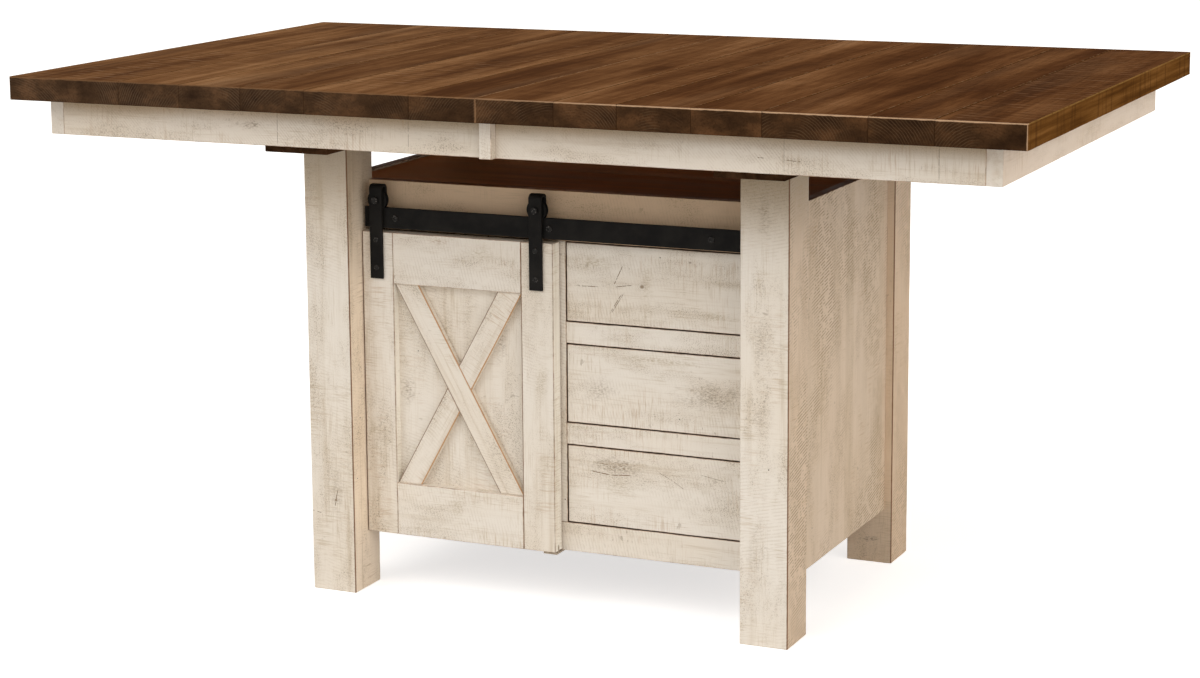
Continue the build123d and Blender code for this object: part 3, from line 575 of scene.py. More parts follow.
def value_noise(points, seed):
    """Smooth noise from -1 to 1, with features about one unit across."""
    cell = np.floor(points).astype(np.int64)
    part = points - cell
    part = part * part * (3 - 2 * part)
    total = np.zeros(len(points))
    for corner in range(8):
        bits = np.array([corner & 1, corner >> 1 & 1, corner >> 2 & 1])
        weight = np.where(bits == 1, part, 1 - part).prod(axis=1)
        total += weight * hashed(cell + bits, seed)
    return total


def spaced(half, edge_steps, step):
    """Places from -half to half, close together near both ends."""
    steps = [s for s in edge_steps if s < half * 0.8]
    reach = half - (steps[-1] if steps else 0)
    count = max(1, ceil(2 * reach / step))
    inner = np.linspace(-reach, reach, count + 1)
    ends = np.array([half - s for s in steps[:-1]])
    return np.concatenate([-ends, inner, ends[::-1]]) if steps else inner


def lattice_box(axes):
    """The points and four-sided faces of a closed box cut at the given places along each axis."""
    shape = tuple(len(a) for a in axes)
    shell = np.zeros(shape, bool)
    for axis in range(3):
        for end in (0, -1):
            np.moveaxis(shell, axis, 0)[end] = True
    index = np.full(shape, -1)
    index[shell] = np.arange(shell.sum())
    points = np.stack(np.meshgrid(*axes, indexing="ij"), axis=-1)[shell]
    faces = []
    for axis in range(3):
        for end in (0, -1):
            sheet = np.take(index, end, axis=axis)
            quads = np.stack([sheet[:-1, :-1], sheet[1:, :-1], sheet[1:, 1:], sheet[:-1, 1:]], axis=-1)
            quads = quads.reshape(-1, 4)
            faces.append(quads[:, ::-1] if (end == 0) != (axis == 1) else quads)
    return points, np.concatenate(faces)


ARRIS_STEPS = (0.0, 0.0005, 0.0012, 0.0024)
WIDE_STEPS = (0.0, 0.0009, 0.002, 0.004, 0.0068)
TINY = 1e-9


def round_arrises(points, half, pair, radius):
    """Rounds the arrises between two pairs of opposite faces. radius holds a value for each point."""
    pair = list(pair)
    core = half[pair] - radius[:, None]
    side = np.sign(points[:, pair])
    over = np.abs(points[:, pair]) - core
    hit = np.flatnonzero((over > TINY).all(axis=1))
    near = over[hit]
    near *= (near.max(axis=1) / np.linalg.norm(near, axis=1))[:, None]
    points[np.ix_(hit, pair)] = side[hit] * (core[hit] + near)


def board(
    size, seed, radius=1.0, end_radius=None, joint_radius=None, corner=None,
    step=9, along_step=None, relief=0.25, saw=0.0,
):
    """One board about its centre, with X along its grain: worn arrises and slightly uneven faces.

    size is in metres and the rest in millimetres. end_radius is for the arrises across the grain,
    joint_radius for the upright ones at a board's ends, and corner is a side (-1 or 1) and a radius
    for the two upright arrises on that side.
    """
    half = np.array(size) / 2
    end_radius = end_radius or radius
    joint_radius = joint_radius or radius
    steps = WIDE_STEPS if end_radius > radius else ARRIS_STEPS
    flat, faces = lattice_box([
        spaced(half[0], steps, (along_step or step) * MM),
        spaced(half[1], steps, step * MM),
        spaced(half[2], ARRIS_STEPS, step * MM),
    ])
    inside = half - np.abs(flat)
    wear = 1 + 0.45 * value_noise(flat * 14 + seed, seed) + 0.3 * value_noise(flat * 70 + seed, seed + 1)
    thinnest = half.min() * 0.8
    points = flat.copy()
    for pair, size_of_round in (((0, 2), end_radius), ((1, 2), radius), ((0, 1), joint_radius)):
        amount = np.minimum(size_of_round * MM * wear, thinnest)
        if corner and pair == (0, 1):
            amount = np.where(np.sign(flat[:, 1]) == corner[0], corner[1] * MM, amount)
        round_arrises(points, half, pair, amount)
    for axis in range(3):
        on_face = inside[:, axis] < TINY
        others = np.delete(inside, axis, axis=1).min(axis=1)
        fade = np.clip((others - 1 * MM) / (6 * MM), 0, 1)
        sunk = relief * MM * (0.5 + 0.5 * value_noise(flat * np.array([9, 22, 22]) + seed, seed + 2))
        if saw and axis == 2:
            kerfs = value_noise(flat * np.array([85, 3, 3]) + seed, seed + 3)
            patch = np.clip(value_noise(flat * np.array([3, 7, 7]) + seed, seed + 4) * 3 + 0.8, 0, 1)
            sunk = sunk + saw * MM * np.clip(kerfs, 0, 1) * patch
        points[:, axis] -= np.where(on_face, np.sign(flat[:, axis]) * sunk * fade, 0)
    return points, faces, flat, half


def turned(points, order):
    """Board coordinates (along, across, deep) put on the axes named by order, such as 'zxy'."""
    placed = np.empty_like(points)
    for column, axis in enumerate(order):
        placed[:, AXES[axis]] = points[:, column]
    return placed


class Mesh:
    """Points, faces and board attributes gathered into one piece."""

    def __init__(self):
        self.rows, self.faces, self.count = [], [], 0

    def add(self, points, faces, local=(0, 0, 0), half=(0, 0, 0), tone=(0, 0, 0)):
        points = np.asarray(points, float)
        self.rows.append(np.stack([np.broadcast_to(v, points.shape) for v in (points, local, half, tone)]))
        self.faces += [[int(i) + self.count for i in face] for face in faces]
        self.count += len(points)

    def make(self, name, material, smooth=True):
        data = bpy.data.meshes.new(name)
        points, *values = np.concatenate(self.rows, axis=1)
        data.from_pydata(points, [], self.faces)
        for key, vectors in zip(ATTRIBUTES, values):
            attribute = data.attributes.new(key, "FLOAT_VECTOR", "POINT")
            attribute.data.foreach_set("vector", vectors.astype(np.float32).ravel())
        data.materials.append(material)
        outward = bmesh.new()
        outward.from_mesh(data)
        bmesh.ops.recalc_face_normals(outward, faces=outward.faces)
        outward.to_mesh(data)
        outward.free()
        if smooth:
            data.shade_smooth()
        return new_object(name, data)


def settle(piece, node):
    """The piece stands for a CAD node and rides on its body."""
    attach(piece, frame["nodes"][node]["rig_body"])
    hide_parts(node)
    return piece


def solid_boxes(node):
    """The lowest and highest corner of each separate solid of a CAD node."""
    data = frame["nodes"][node].data
    corners = np.round([v.co for v in data.vertices], 6)
    places, index = np.unique(corners, axis=0, return_inverse=True)
    index = index.ravel()
    label = np.arange(len(places))
    faces = [index[list(face.vertices)] for face in data.polygons]
    changed = True
    while changed:
        changed = False
        for face in faces:
            least = label[face].min()
            if (label[face] != least).any():
                label[face] = least
                changed = True
    return [(places[label == k].min(axis=0), places[label == k].max(axis=0)) for k in np.unique(label)]


def board_in(mesh, low, high, order, tone, **shape):
    """Adds a board that fills a box. order names the axes along, across and through it."""
    low, high = np.asarray(low, float), np.asarray(high, float)
    size = [(high - low)[AXES[a]] for a in order]
    seed = int(tone[0] * 900 + tone[1] * 70)
    points, faces, flat, half = board(size, seed, **shape)
    mesh.add(turned(points, order) + (low + high) / 2, faces, flat, half, tone)


def boards_for(order, material, *nodes, slot="painted_wood", **shape):
    """Worn boards in place of CAD nodes whose solids are plain boards. Returns the last node's piece."""
    for node in nodes:
        mesh = Mesh()
        for low, high in solid_boxes(node):
            board_in(mesh, low, high, order, random_tone(), **shape)
        piece = settle(mesh.make(node + "_boards", material), node)
    return piece


chance = np.random.RandomState(20)


def random_tone():
    return tuple(chance.uniform(0.05, 0.95, 3))


# ---- turned parts ----


def angles(segments):
    return [2 * pi * k / segments for k in range(segments)]


def ring_faces(rings, segments, closed=False):
    """The four-sided faces between neighbouring rings of points."""
    faces = []
    for i in range(rings if closed else rings - 1):
        a, b = i * segments, (i + 1) % rings * segments
        for k in range(segments):
            n = (k + 1) % segments
            faces.append((a + k, a + n, b + n, b + k))
    return faces


def end_faces(rings, segments):
    """One face across the first ring and one across the last."""
    last = (rings - 1) * segments
    return [tuple(range(segments)), tuple(range(last, last + segments))]


def lathe(mesh, rings, centre, segments=36, closed=False):
    """Adds a solid turned about the Y axis from (radius, y) rings, in millimetres from its centre.

    A radius may be a function of the angle.
    """
    points = []
    for radius, y in rings:
        for angle in angles(segments):
            r = radius(angle) if callable(radius) else radius
            points.append((r * cos(angle), y, r * sin(angle)))
    faces = ring_faces(len(rings), segments, closed)
    if not closed:
        faces += end_faces(len(rings), segments)
    mesh.add(np.array(points) * MM + centre, faces)


def hexagon(across_flats):
    """A ring's radius at each angle, for a hexagon of that width."""
    return lambda angle: across_flats / 2 / cos((angle + pi / 6) % (pi / 3) - pi / 6)


# ---- the top ----

LEFT_JOINTS = (-0.890, -0.667, -0.548, -0.430, -0.310, -0.118, -0.0003)
RIGHT_JOINTS = (0.0003, 0.136, 0.243, 0.366, 0.481, 0.648, 0.750, 0.890)
TOP_HALF_LENGTH = 0.890
TOP_CORNER_RADIUS = 6
PIN_HOLE_RADIUS = 5.5 * MM
PIN_HOLE_DEPTH = 18.3 * MM
PIN_HOLE_OFFSET = 0.330
PIN_HOLE_HEIGHT = 0.894
GUIDE_GROOVE = ((-0.40, 0.04), (-0.2575, -0.2515), (0.09, 0.113))
SAME_POINT = 1e-6
SHARP_ANGLE = radians(50)


def make_planks(node, joints, material, suffix="_boards"):
    """One half's planks: joined square at their edges, and well worn along their ends."""
    low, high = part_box(node)
    mesh = Mesh()
    for left, right in zip(joints, joints[1:]):
        is_end = max(abs(left), abs(right)) > TOP_HALF_LENGTH - MM
        board_in(
            mesh, (left, low.y, low.z), (right, high.y, high.z), "yxz", random_tone(),
            radius=0.8, end_radius=2.2, joint_radius=0.25,
            corner=(copysign(1, left), TOP_CORNER_RADIUS) if is_end else None,
            along_step=5.5, relief=0.3, saw=0.35,
        )
    return settle(mesh.make(node + suffix, material), node)


def cut(piece, cutter, order):
    """Takes the cutter out of a piece of boards, whose axes order names, and removes the cutter.

    A new corner gets the attributes of the nearest old one, with its place on the board moved along.
    """
    modifier = piece.modifiers.new("cut", "BOOLEAN")
    modifier.operation = "DIFFERENCE"
    modifier.solver = "EXACT"
    modifier.object = cutter
    depsgraph = bpy.context.evaluated_depsgraph_get()
    data = bpy.data.meshes.new_from_object(piece.evaluated_get(depsgraph))
    known = piece.data
    tree = KDTree(len(known.vertices))
    for vertex in known.vertices:
        tree.insert(vertex.co, vertex.index)
    tree.balance()
    for vertex in data.vertices:
        place, index, distance = tree.find(vertex.co)
        if distance > SAME_POINT:
            step = vertex.co - place
            for key in ATTRIBUTES:
                value = Vector(known.attributes[key].data[index].vector)
                if key == "local":
                    value += Vector([step[AXES[a]] for a in order])
                data.attributes[key].data[vertex.index].vector = value
    data.set_sharp_from_angle(angle=SHARP_ANGLE)
    piece.modifiers.clear()
    piece.data = data
    bpy.data.objects.remove(cutter)


def pin_holes(material, segments=32):
    """Cutters for the holes that take the other half's alignment pins."""
    rods = Mesh()
    for y in (-PIN_HOLE_OFFSET, PIN_HOLE_OFFSET):
        points = [
            (x, y + PIN_HOLE_RADIUS * cos(angle), PIN_HOLE_HEIGHT + PIN_HOLE_RADIUS * sin(angle))
            for x in (-5 * MM, PIN_HOLE_DEPTH) for angle in angles(segments)
        ]
        rods.add(points, ring_faces(2, segments) + end_faces(2, segments))
    return rods.make("pin_holes", material)


def guide_groove(material):
    """A cutter for the groove along the door's bottom edge, for the guide's fin."""
    groove = Mesh()
    groove.add(*lattice_box([np.array(pair) for pair in GUIDE_GROOVE]))
    return groove.make("guide_groove", material)


# ---- scene ----

WORLD_LEVEL = 0.42
WORLD_COLOUR = (1.0, 0.95, 0.885)
FLOOR_SIZE = 60.0
FLOOR_COLOUR = (0.86, 0.85, 0.835)
FLOOR_GLOW = (0.66, 0.66, 0.66)


def make_sun(name, energy, colour, direction, angle):
    """A broad sun that shines from a direction, given as a vector from the object to it."""
    data = bpy.data.lights.new(name, "SUN")
    data.energy = energy
    data.color = colour
    data.angle = radians(angle)
    lamp = new_object(name, data)
    lamp.rotation_mode = "QUATERNION"
    lamp.rotation_quaternion = Vector(direction).to_track_quat("Z", "Y")


def seen_directly(graph):
    """1 for camera, glossy and transmission rays, which see the white background."""
    path = graph.add("LightPath", {})
    kinds = ("Camera", "Glossy", "Transmission")
    camera, glossy, through = (Value(graph, path.outputs[f"Is {kind} Ray"]) for kind in kinds)
    return camera | glossy | through


def make_world():
    graph = Graph("studio", "worlds")
    soft = graph.value("Background", {"Color": WORLD_COLOUR, "Strength": WORLD_LEVEL})
    white = graph.value("Background", {"Color": (1, 1, 1)})
    mixed = graph.value("MixShader", {0: seen_directly(graph), 1: soft, 2: white})
    graph.add("OutputWorld", {"Surface": mixed})
    bpy.context.scene.world = graph.owner


def make_floor():
    """A pale floor that reads as white to the camera and keeps the object's shadow."""
    graph = Graph("floor")
    matt = graph.value("BsdfDiffuse", {"Color": FLOOR_COLOUR})
    glow = graph.value("Emission", {"Color": FLOOR_GLOW, "Strength": seen_directly(graph)})
    graph.add("OutputMaterial", {"Surface": graph.value("AddShader", {0: matt, 1: glow})})
    half = FLOOR_SIZE / 2
    corners = [(-half, -half, 0), (half, -half, 0), (half, half, 0), (-half, half, 0)]
    data = bpy.data.meshes.new("floor")
    data.from_pydata(corners, [], [(0, 1, 2, 3)])
    data.materials.append(graph.owner)
    floor = new_object("floor", data)


# ---- hardware sizes, as in the CAD model ----

STRAP_PLACES = (-0.329, -0.025)
AXLE_HEIGHT = 0.6935
BOLT_PLACES = ((-0.295, 0.663), (-0.0025, 0.663), (0.290, 0.663))
TRACK_FRONT, TRACK_MIDDLE = -0.265, -0.262
STRAP_FRONT, DOOR_FRONT, STRAP_REAR = -0.273, -0.268, -0.256
STRAP_WIDTH, STRAP_THICKNESS = 0.024, 0.005
STRAP_OUTSIDE = STRAP_REAR + STRAP_THICKNESS
STRAP_REAR_REACH = 9.5 * MM
STRAP_BEND, STRAP_INNER_BEND, BEND_STEPS = 8.5 * MM, 4 * MM, 8
STRAP_EASE = 0.7 * MM
SCREW_HEIGHTS = (0.625, 0.576)


def strap_outlines():
    """The outer and inner line of a strap in (y, z), from its front foot over the wheel to its rear end."""
    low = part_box("door_hangers")[0].z
    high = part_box("door_hangers")[1].z
    rear_low = AXLE_HEIGHT - STRAP_REAR_REACH
    outer, inner = [(STRAP_FRONT, low)], [(DOOR_FRONT, low)]
    for centre_y, inner_y, first in (
        (STRAP_FRONT + STRAP_BEND, DOOR_FRONT + STRAP_INNER_BEND, pi),
        (STRAP_OUTSIDE - STRAP_BEND, STRAP_REAR - STRAP_INNER_BEND, pi / 2),
    ):
        for k in range(BEND_STEPS + 1):
            angle = first - pi / 2 * k / BEND_STEPS
            y, z = cos(angle), sin(angle)
            outer.append((centre_y + STRAP_BEND * y, high - STRAP_BEND + STRAP_BEND * z))
            top = high - STRAP_THICKNESS - STRAP_INNER_BEND
            inner.append((inner_y + STRAP_INNER_BEND * y, top + STRAP_INNER_BEND * z))
    outer.append((STRAP_OUTSIDE, rear_low))
    inner.append((STRAP_REAR, rear_low))
    return np.array(outer), np.array(inner)


def make_hangers(material, bolt_material):
    """Straps bent over the wheels, with eased edges, and their screws and axle bolts."""
    outer, inner = strap_outlines()
    towards = (inner - outer) / np.linalg.norm(inner - outer, axis=1, keepdims=True)
    edge = STRAP_WIDTH / 2
    rings = ((-edge, STRAP_EASE), (-edge + STRAP_EASE, 0), (edge - STRAP_EASE, 0), (edge, STRAP_EASE))
    count = 2 * len(outer)
    straps, screws, axles = Mesh(), Mesh(), Mesh()
    for x in STRAP_PLACES:
        points = []
        for across, inset in rings:
            for line in (outer + towards * inset, (inner - towards * inset)[::-1]):
                points += [(x + across, y, z) for y, z in line]
        faces = ring_faces(len(rings), count)
        for ring in (0, len(rings) - 1):
            for k in range(len(outer) - 1):
                far = count - 1 - k
                faces.append(tuple(ring * count + i for i in (k, k + 1, far - 1, far)))
        straps.add(points, faces)
        for z in SCREW_HEIGHTS:
            socket_head(screws, (x, STRAP_FRONT, z), 5, 1.6, 3)
        hexagon_bolt(axles, (x, STRAP_FRONT, AXLE_HEIGHT), (STRAP_OUTSIDE - STRAP_FRONT) / MM)
    settle(straps.make("door_hanger_straps", material, smooth=False), "door_hangers")
    settle(screws.make("door_hanger_screws", bolt_material, smooth=False), "door_hangers")
    settle(axles.make("wheel_axle_bolts", bolt_material, smooth=False), "wheel_axles")


def socket_head(mesh, seat, radius, height, socket):
    """A button head with a hexagon socket, on a seat given by its centre, and a short shank behind."""
    lathe(mesh, [
        (radius * 0.6, 2), (radius * 0.6, 0), (radius, 0), (radius, height * -0.35),
        (radius * 0.93, height * -0.65), (radius * 0.8, height * -0.88), (radius * 0.66, -height),
        (hexagon(socket * 1.12), -height), (hexagon(socket), 0.15 - height),
        (hexagon(socket), height * -0.25),
    ], seat)


def hexagon_bolt(mesh, seat, grip, width=11.2):
    """An axle bolt: chamfered hexagon head, washer face, shank and, behind the grip, a nut."""
    corner = hexagon(width)
    eased = lambda angle: min(corner(angle), width * 0.52)
    lathe(mesh, [
        (eased, -4), (lambda angle: min(corner(angle), width * 0.57), -3.3), (corner, -0.6),
        (width * 0.49, -0.5), (width * 0.49, 0), (4, 0), (4, grip), (corner, grip), (corner, grip + 3.9),
        (eased, grip + 4.5),
    ], seat)


def make_wheel(node, x, material):
    """A grooved wheel with eased flanges and a shallow recess in each side."""
    side, groove, bore = 5, 3.4, 4.08
    half = [
        (bore, side - 0.4), (bore + 0.4, side), (7.2, side), (8.0, side - 0.8), (14.6, side - 0.8),
        (15.4, side), (17.5, side), (18.2, side - 0.6), (18.1, groove + 0.2), (17.6, groove),
        (12.8, groove), (12.2, groove - 0.7),
    ]
    rings = half + [(radius, -y) for radius, y in reversed(half)]
    mesh = Mesh()
    lathe(mesh, rings, (x, TRACK_MIDDLE, AXLE_HEIGHT), segments=64, closed=True)
    settle(mesh.make(node + "_grooved", material, smooth=False), node)


def make_track_bolts(material):
    mesh = Mesh()
    for x, z in BOLT_PLACES:
        socket_head(mesh, (x, TRACK_FRONT, z), 6, 2.4, 4)
    settle(mesh.make("track_bolt_heads", material, smooth=False), "track_bolts")


# ---- door braces ----

PANEL_LEFT, PANEL_RIGHT, PANEL_LOW, PANEL_HIGH = -0.299, -0.055, 0.195, 0.549
BRACE_FRONT, BRACE_THICKNESS, BRACE_CUT = -0.263, 0.012, 0.046
BRACE_SEED = 31


def brace(mesh, top_x, bottom_x, low_line, high_line):
    """Adds a slanting board between two sloping cuts, each given as a function from x to z."""
    height = PANEL_HIGH - PANEL_LOW
    centre_top = top_x + copysign(BRACE_CUT / 2, bottom_x - top_x)
    centre_low = bottom_x - copysign(BRACE_CUT / 2, bottom_x - top_x)
    slope = (centre_top - centre_low) / height
    lean = cos(atan(slope))
    points, faces, flat, half = board(
        (height, BRACE_CUT, BRACE_THICKNESS), BRACE_SEED, radius=0.9, relief=0.15
    )
    share = points[:, 0] / height + 0.5
    line_x = centre_low + points[:, 1]
    start, end = low_line(line_x, slope), high_line(line_x, slope)
    z = start + share * (end - start)
    x = line_x + slope * (z - PANEL_LOW)
    placed = np.column_stack([x, points[:, 2] + BRACE_FRONT + BRACE_THICKNESS / 2, z])
    scale = np.column_stack([(end - start) / lean / height, np.full_like(z, lean), np.ones_like(z)])
    mesh.add(placed, faces, flat * scale, half * scale, random_tone())


def make_braces(material):
    """The long brace, and the two halves of the other one, which butt into it."""
    long_slope = (PANEL_LEFT - PANEL_RIGHT + BRACE_CUT) / (PANEL_HIGH - PANEL_LOW)
    long_low = PANEL_RIGHT - BRACE_CUT / 2

    def crossing(side):
        """Where a line of the short brace meets that side of the long brace."""
        return lambda x, slope: PANEL_LOW + (long_low + side * BRACE_CUT / 2 - x) / (slope - long_slope)

    low = lambda x, slope: np.full_like(x, PANEL_LOW)
    high = lambda x, slope: np.full_like(x, PANEL_HIGH)
    long_brace, short_braces = Mesh(), Mesh()
    brace(long_brace, PANEL_LEFT, PANEL_RIGHT, low, high)
    brace(short_braces, PANEL_RIGHT, PANEL_LEFT, low, crossing(-1))
    brace(short_braces, PANEL_RIGHT, PANEL_LEFT, crossing(1), high)
    settle(long_brace.make("door_long_brace_board", material), "door_long_brace")
    settle(short_braces.make("door_short_brace_boards", material), "door_short_braces")


# ---- brads ----

RIGHT, LEFT, FRONT = (1, 0, 0), (-1, 0, 0), (0, -1, 0)
BRADS = {
    "base": (
        ((-0.360, -0.287, 0.310), RIGHT), ((-0.360, -0.301, 0.204), RIGHT),
        ((0.0105, -0.238, 0.190), FRONT), ((0.430, -0.150, 0.640), RIGHT),
        ((0.430, -0.180, 0.560), RIGHT), ((0.430, -0.160, 0.165), RIGHT),
        ((0.410, -0.315, 0.300), FRONT), ((0.360, 0.285, 0.560), LEFT),
    ),
    "door": (((-0.262, -0.251, 0.430), FRONT),),
    "drawer_top": (((0.188, -0.238, 0.622), FRONT),),
    "drawer_middle": (((0.222, -0.238, 0.350), FRONT),),
}
BRAD_RINGS = ((1.0 * MM, -1.2 * MM), (1.0 * MM, 0), (0.7 * MM, 0.08 * MM))


def make_brads(material, segments=12):
    """Small filled brad holes, each a low dome let into its board."""
    for body, brads in BRADS.items():
        mesh = Mesh()
        for place, normal in brads:
            turn = Vector(normal).to_track_quat("Z", "Y").to_matrix()
            points = [
                Vector(place) + turn @ Vector((radius * cos(angle), radius * sin(angle), height))
                for radius, height in BRAD_RINGS for angle in angles(segments)
            ]
            faces = ring_faces(len(BRAD_RINGS), segments) + end_faces(len(BRAD_RINGS), segments)
            mesh.add([tuple(p) for p in points], faces)
        piece = mesh.make("brads_" + body, material, smooth=False)
        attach(piece, body)


# ---- paints ----


def apron_crack(top_x, low_x, width):
    """A crack across the front apron, over its whole height."""
    return scratch((top_x, 872), (low_x, 813), width)


# Its shade paints the shadow of the top's overhang along the aprons' upper part.
paint_apron = painted_wood(
    "painted_wood_apron", warmth=0.25, glaze=1.1, hatch=0.25, skew=0.9, shade=0.98,
    marks=[
        apron_crack(742.1, 742.7, 0.5),
        apron_crack(498.4, 498.7, 0.4),
        apron_crack(-145.5, -146.1, 0.4),
        apron_crack(-390, -390.7, 0.5),
        scratch((454.9, 836.5), (466.3, 836.3), 0.7),
        scratch((500, 834.9), (527.5, 833.3), 0.7),
        stain((-440.5, 845), (35, 10), 0.8),
    ],
)
# tan paints the warm light on the end aprons, across the whole board.
paint_end = painted_wood(
    "painted_wood_end", tan=2, tan_amount=0.75, tan_tint=(0.76, 0.61, 0.475), hatch=0.1, glaze=0.8,
    rubbed=0.3,
)
# Each leg's tan paints the warmer, dimmer light on its face turned to the side; on the front left leg a
# lighter tint paints the light on its right face. head paints the shade under the table top, and the back
# legs' warmth, with under on the back right one, paints the shade they stand in.
LEG_LOOKS = {
    "leg_front_left": dict(
        warmth=0.1, tan=1, tan_tint=(0.95, 0.82, 0.67), tan_hatch=-0.1, rubbed=0.3, head=0.6,
        marks=[
            knot((-396.2, 164.8), 3.0),
            scratch((-392, 185), (-399, 150), 0.9),
            scratch((-445, 142), (-425, 139), 0.7),
            stain((-395, 185), (18, 60), 0.35),
            stain((-418, 695), (30, 70), 0.3, OLIVE),
        ],
    ),
    "leg_front_right": dict(
        tan=1, tan_amount=0.78, tan_hatch=0.84, skew=-0.22, rubbed=0.3, head=0.95,
        marks=[
            stain((402, 720), (16, 50), 0.6),
            stain((394.5, 506), (20, 60), 0.4),
            stain((398, 382), (20, 30), 0.4),
            stain((385, 150), (20, 50), 0.3),
        ],
    ),
    "leg_back_left": dict(warmth=0.5, tan=-1, tan_amount=0.85, skew=0.22, rubbed=0.4),
    "leg_back_right": dict(
        warmth=0.5, under=0.6, tan=1, tan_amount=0.88, tan_hatch=0.75, skew=-0.22, rubbed=0.4,
        marks=[stain((404, 42), (22, 6), 0.9, REVEAL)],
    ),
}
# tan paints the warm, dimmer light on the side and back panels, across the whole board.
paint_side = painted_wood(
    "painted_wood_side", staves=9.0, tan=2, tan_amount=0.60, hatch=0.85, skew=-0.22, stained_top=True
)
# tan paints the shade that the table top casts on the face frame's top rail.
paint_rail = painted_wood("painted_wood_rail", tan=2, tan_amount=0.9, stained_top=True, rubbed=0.5)
paint_frame = painted_wood("painted_wood_frame", dark_sides=True)
# Its tan_tint, lighter than the paint, paints a highlight on the door's right side face.
paint_door = painted_wood(
    "painted_wood_door", tan=1, tan_tint=(1.0, 0.97, 0.89), tan_hatch=0.0, arris=-1, far_arris=0.35,
    marks=[
        stain((-344.7, 287.3), (14, 22), 0.55, OLIVE),
        stain((-346.5, 462.4), (18, 30), 0.4, OLIVE),
        stain((-20, 400), (20, 50), 0.4, OLIVE),
        stain((-15.3, 260), (18, 30), 0.35, OLIVE),
    ],
)
paint_door_rail = painted_wood(
    "painted_wood_door_rail",
    marks=[
        stain((-210.1, 630.1), (35, 10), 0.6, (0.40, 0.25, 0.12)),
        stain((-133.9, 612), (45, 22), 0.4, OLIVE),
        stain((-179.8, 165.5), (20, 35), 0.45, OLIVE),
    ],
)
paint_panel = painted_wood(
    "painted_wood_panel", staves=7.0, stave_tone=0.0, glaze=0.9,
    marks=[
        stain((-284.2, 358.3), (22, 35), 0.6),
        stain((-104.1, 461.6), (24, 50), 0.5),
        stain((-200, 430), (20, 70), 0.4, OLIVE),
    ],
)
DRAWER_MARKS = {
    "top": [
        stain((65.8, 604.8), (50, 18), 0.6, OLIVE),
        stain((164, 570), (16, 75), 0.4, OLIVE),
        stain((287.7, 527.6), (40, 12), 0.6, OLIVE),
        knot((155.1, 570.2), 3.4),
        knot((241.5, 617), 1.6),
        scratch((120.8, 605.1), (102.3, 566.4), 0.9),
        scratch((119, 557), (95, 519), 0.8),
        scratch((122.5, 558), (98.5, 520), 0.7),
        scratch((32.2, 564), (78.4, 565), 0.8),
        scratch((105, 566.5), (138, 572), 0.8),
    ],
    "middle": [
        stain((280.7, 391.7), (80, 30), 0.65),
        stain((77.1, 387.5), (35, 28), 0.5),
        stain((169.2, 446.9), (120, 10), 0.5, OLIVE),
    ],
    "bottom": [
        stain((105, 257), (70, 22), 0.85),
        stain((115, 225), (50, 30), 0.4, OLIVE),
        scratch((57.5, 245.5), (96, 241.5), 1.1),
        scratch((96, 241.5), (135, 244), 1.0),
        scratch((183, 255), (205, 245), 0.5),
        scratch((205, 245), (232, 229), 0.45),
        scratch((259, 258), (304, 250.5), 0.5),
    ],
}

# ---- everything ----

bpy.context.scene.view_settings.view_transform = "Standard"
make_camera()
make_world()
make_floor()
make_sun("key", 1.12, (0.985, 0.99, 0.985), (-0.6, -1.0, 0.95), 45)
make_sun("fill", 1.36, (1.0, 0.93, 0.85), (1.0, -0.55, 0.40), 60)

planks = plank_wood()
make_planks("top_left_planks", LEFT_JOINTS, planks)
seam_plank = make_planks("top_right_planks", RIGHT_JOINTS[:2], planks, "_seam_board")
cut(seam_plank, pin_holes(planks), "yxz")
make_planks("top_right_planks", RIGHT_JOINTS[1:], planks)

boards_for("xzy", paint_apron, "top_left_long_aprons", "top_right_long_aprons")
boards_for("yzx", paint_end, "top_left_end_apron", "top_right_end_apron")
boards_for("zxy", painted_wood("painted_wood"), "top_left_cover_blocks", step=6, relief=0.1)
for leg, look in LEG_LOOKS.items():
    boards_for("zxy", painted_wood("painted_wood_" + leg, arris=1, **look), leg, radius=1.6)
boards_for("zyx", paint_side, "side_panel_left", "side_panel_right", step=12)
boards_for("zxy", paint_side, "back_panel", step=14)
boards_for("xzy", paint_rail, "frame_rail_top")
boards_for("xzy", paint_frame, "frame_rail_bottom", "drawer_rails")
boards_for("zxy", paint_frame, "frame_outer_stiles", "frame_centre_stile")
for level, marks in DRAWER_MARKS.items():
    paint = painted_wood("painted_wood_drawer_" + level, dark_sides=True, glaze=1.1, marks=marks)
    boards_for("xzy", paint, f"drawer_{level}_front")
cut(boards_for("zxy", paint_door, "door_stiles"), guide_groove(paint_door), "zxy")
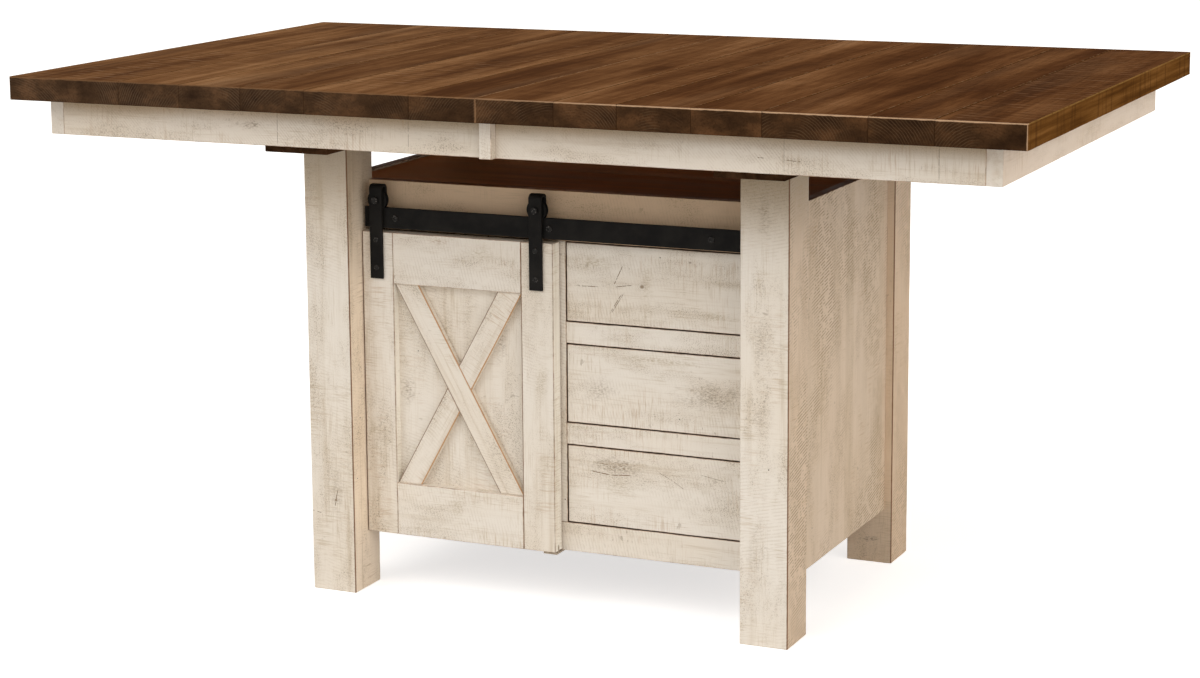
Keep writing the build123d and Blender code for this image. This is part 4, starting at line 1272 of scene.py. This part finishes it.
door_rail = boards_for("xzy", paint_door_rail, "door_rail_top", "door_rail_bottom")
cut(door_rail, guide_groove(paint_door_rail), "xzy")
boards_for("zxy", paint_panel, "door_panel")
make_braces(painted_wood(
    "painted_wood_brace", arris=1, arris_tint=RUB_ORANGE, far_arris=0.7, rubbed=0.5
))
cleat_wood = stained_wood(
    "cleat_wood", "y", (0.034, 0.016, 0.0075), (0.105, 0.052, 0.026), 0.6, 0.0, board_place=True
)
boards_for("yxz", cleat_wood, "cleats", slot="black_stained_wood", step=14)

coat = powder_coat()
bolts = bolt_black()
boards_for("xzy", coat, "door_track", slot="black_steel", radius=0.9, relief=0.05)
make_hangers(coat, bolts)
make_track_bolts(bolts)
for node, x in zip(("wheel_left", "wheel_right"), STRAP_PLACES):
    make_wheel(node, x, coat)
make_brads(stained_wood("brad_filler", "z", (0.03, 0.017, 0.008), (0.07, 0.04, 0.02), 0.6, 0.2))

plain = {
    grain: stained_wood("plain_wood_" + grain, grain, (0.42, 0.28, 0.155), (0.64, 0.47, 0.30), 0.5, 0.3)
    for grain in "xyz"
}
floor_board = stained_wood("cabinet_bottom_wood", "x", (0.085, 0.034, 0.015), (0.20, 0.088, 0.040), 0.6, 0.15)
FINISHES = {
    cabinet_wood(): ("cabinet_top",),
    floor_board: ("cabinet_bottom",),
    plain["x"]: (
        "slide_fixed_rails", "top_left_slide_rails", "top_right_slide_rails", "top_left_alignment_pins",
    ),
    plain["y"]: (
        "equaliser_bar", "shelf", "shelf_battens", "drawer_bottom_box", "drawer_middle_box", "drawer_top_box",
    ),
    plain["z"]: ("partition", "drawer_wall"),
    coat: ("track_spacers",),
    painted_plate(): ("door_guide",),
    zinc_plate(): (
        "drawer_fixed_runners", "drawer_bottom_runners", "drawer_middle_runners", "drawer_top_runners",
        "equaliser_pin",
    ),
    black_nylon(): ("equaliser_pinion", "top_left_rack", "top_right_rack"),
}
for material, nodes in FINISHES.items():
    for node in nodes:
        finishes = frame["nodes"][node].data.materials
        finishes.clear()
        finishes.append(material)
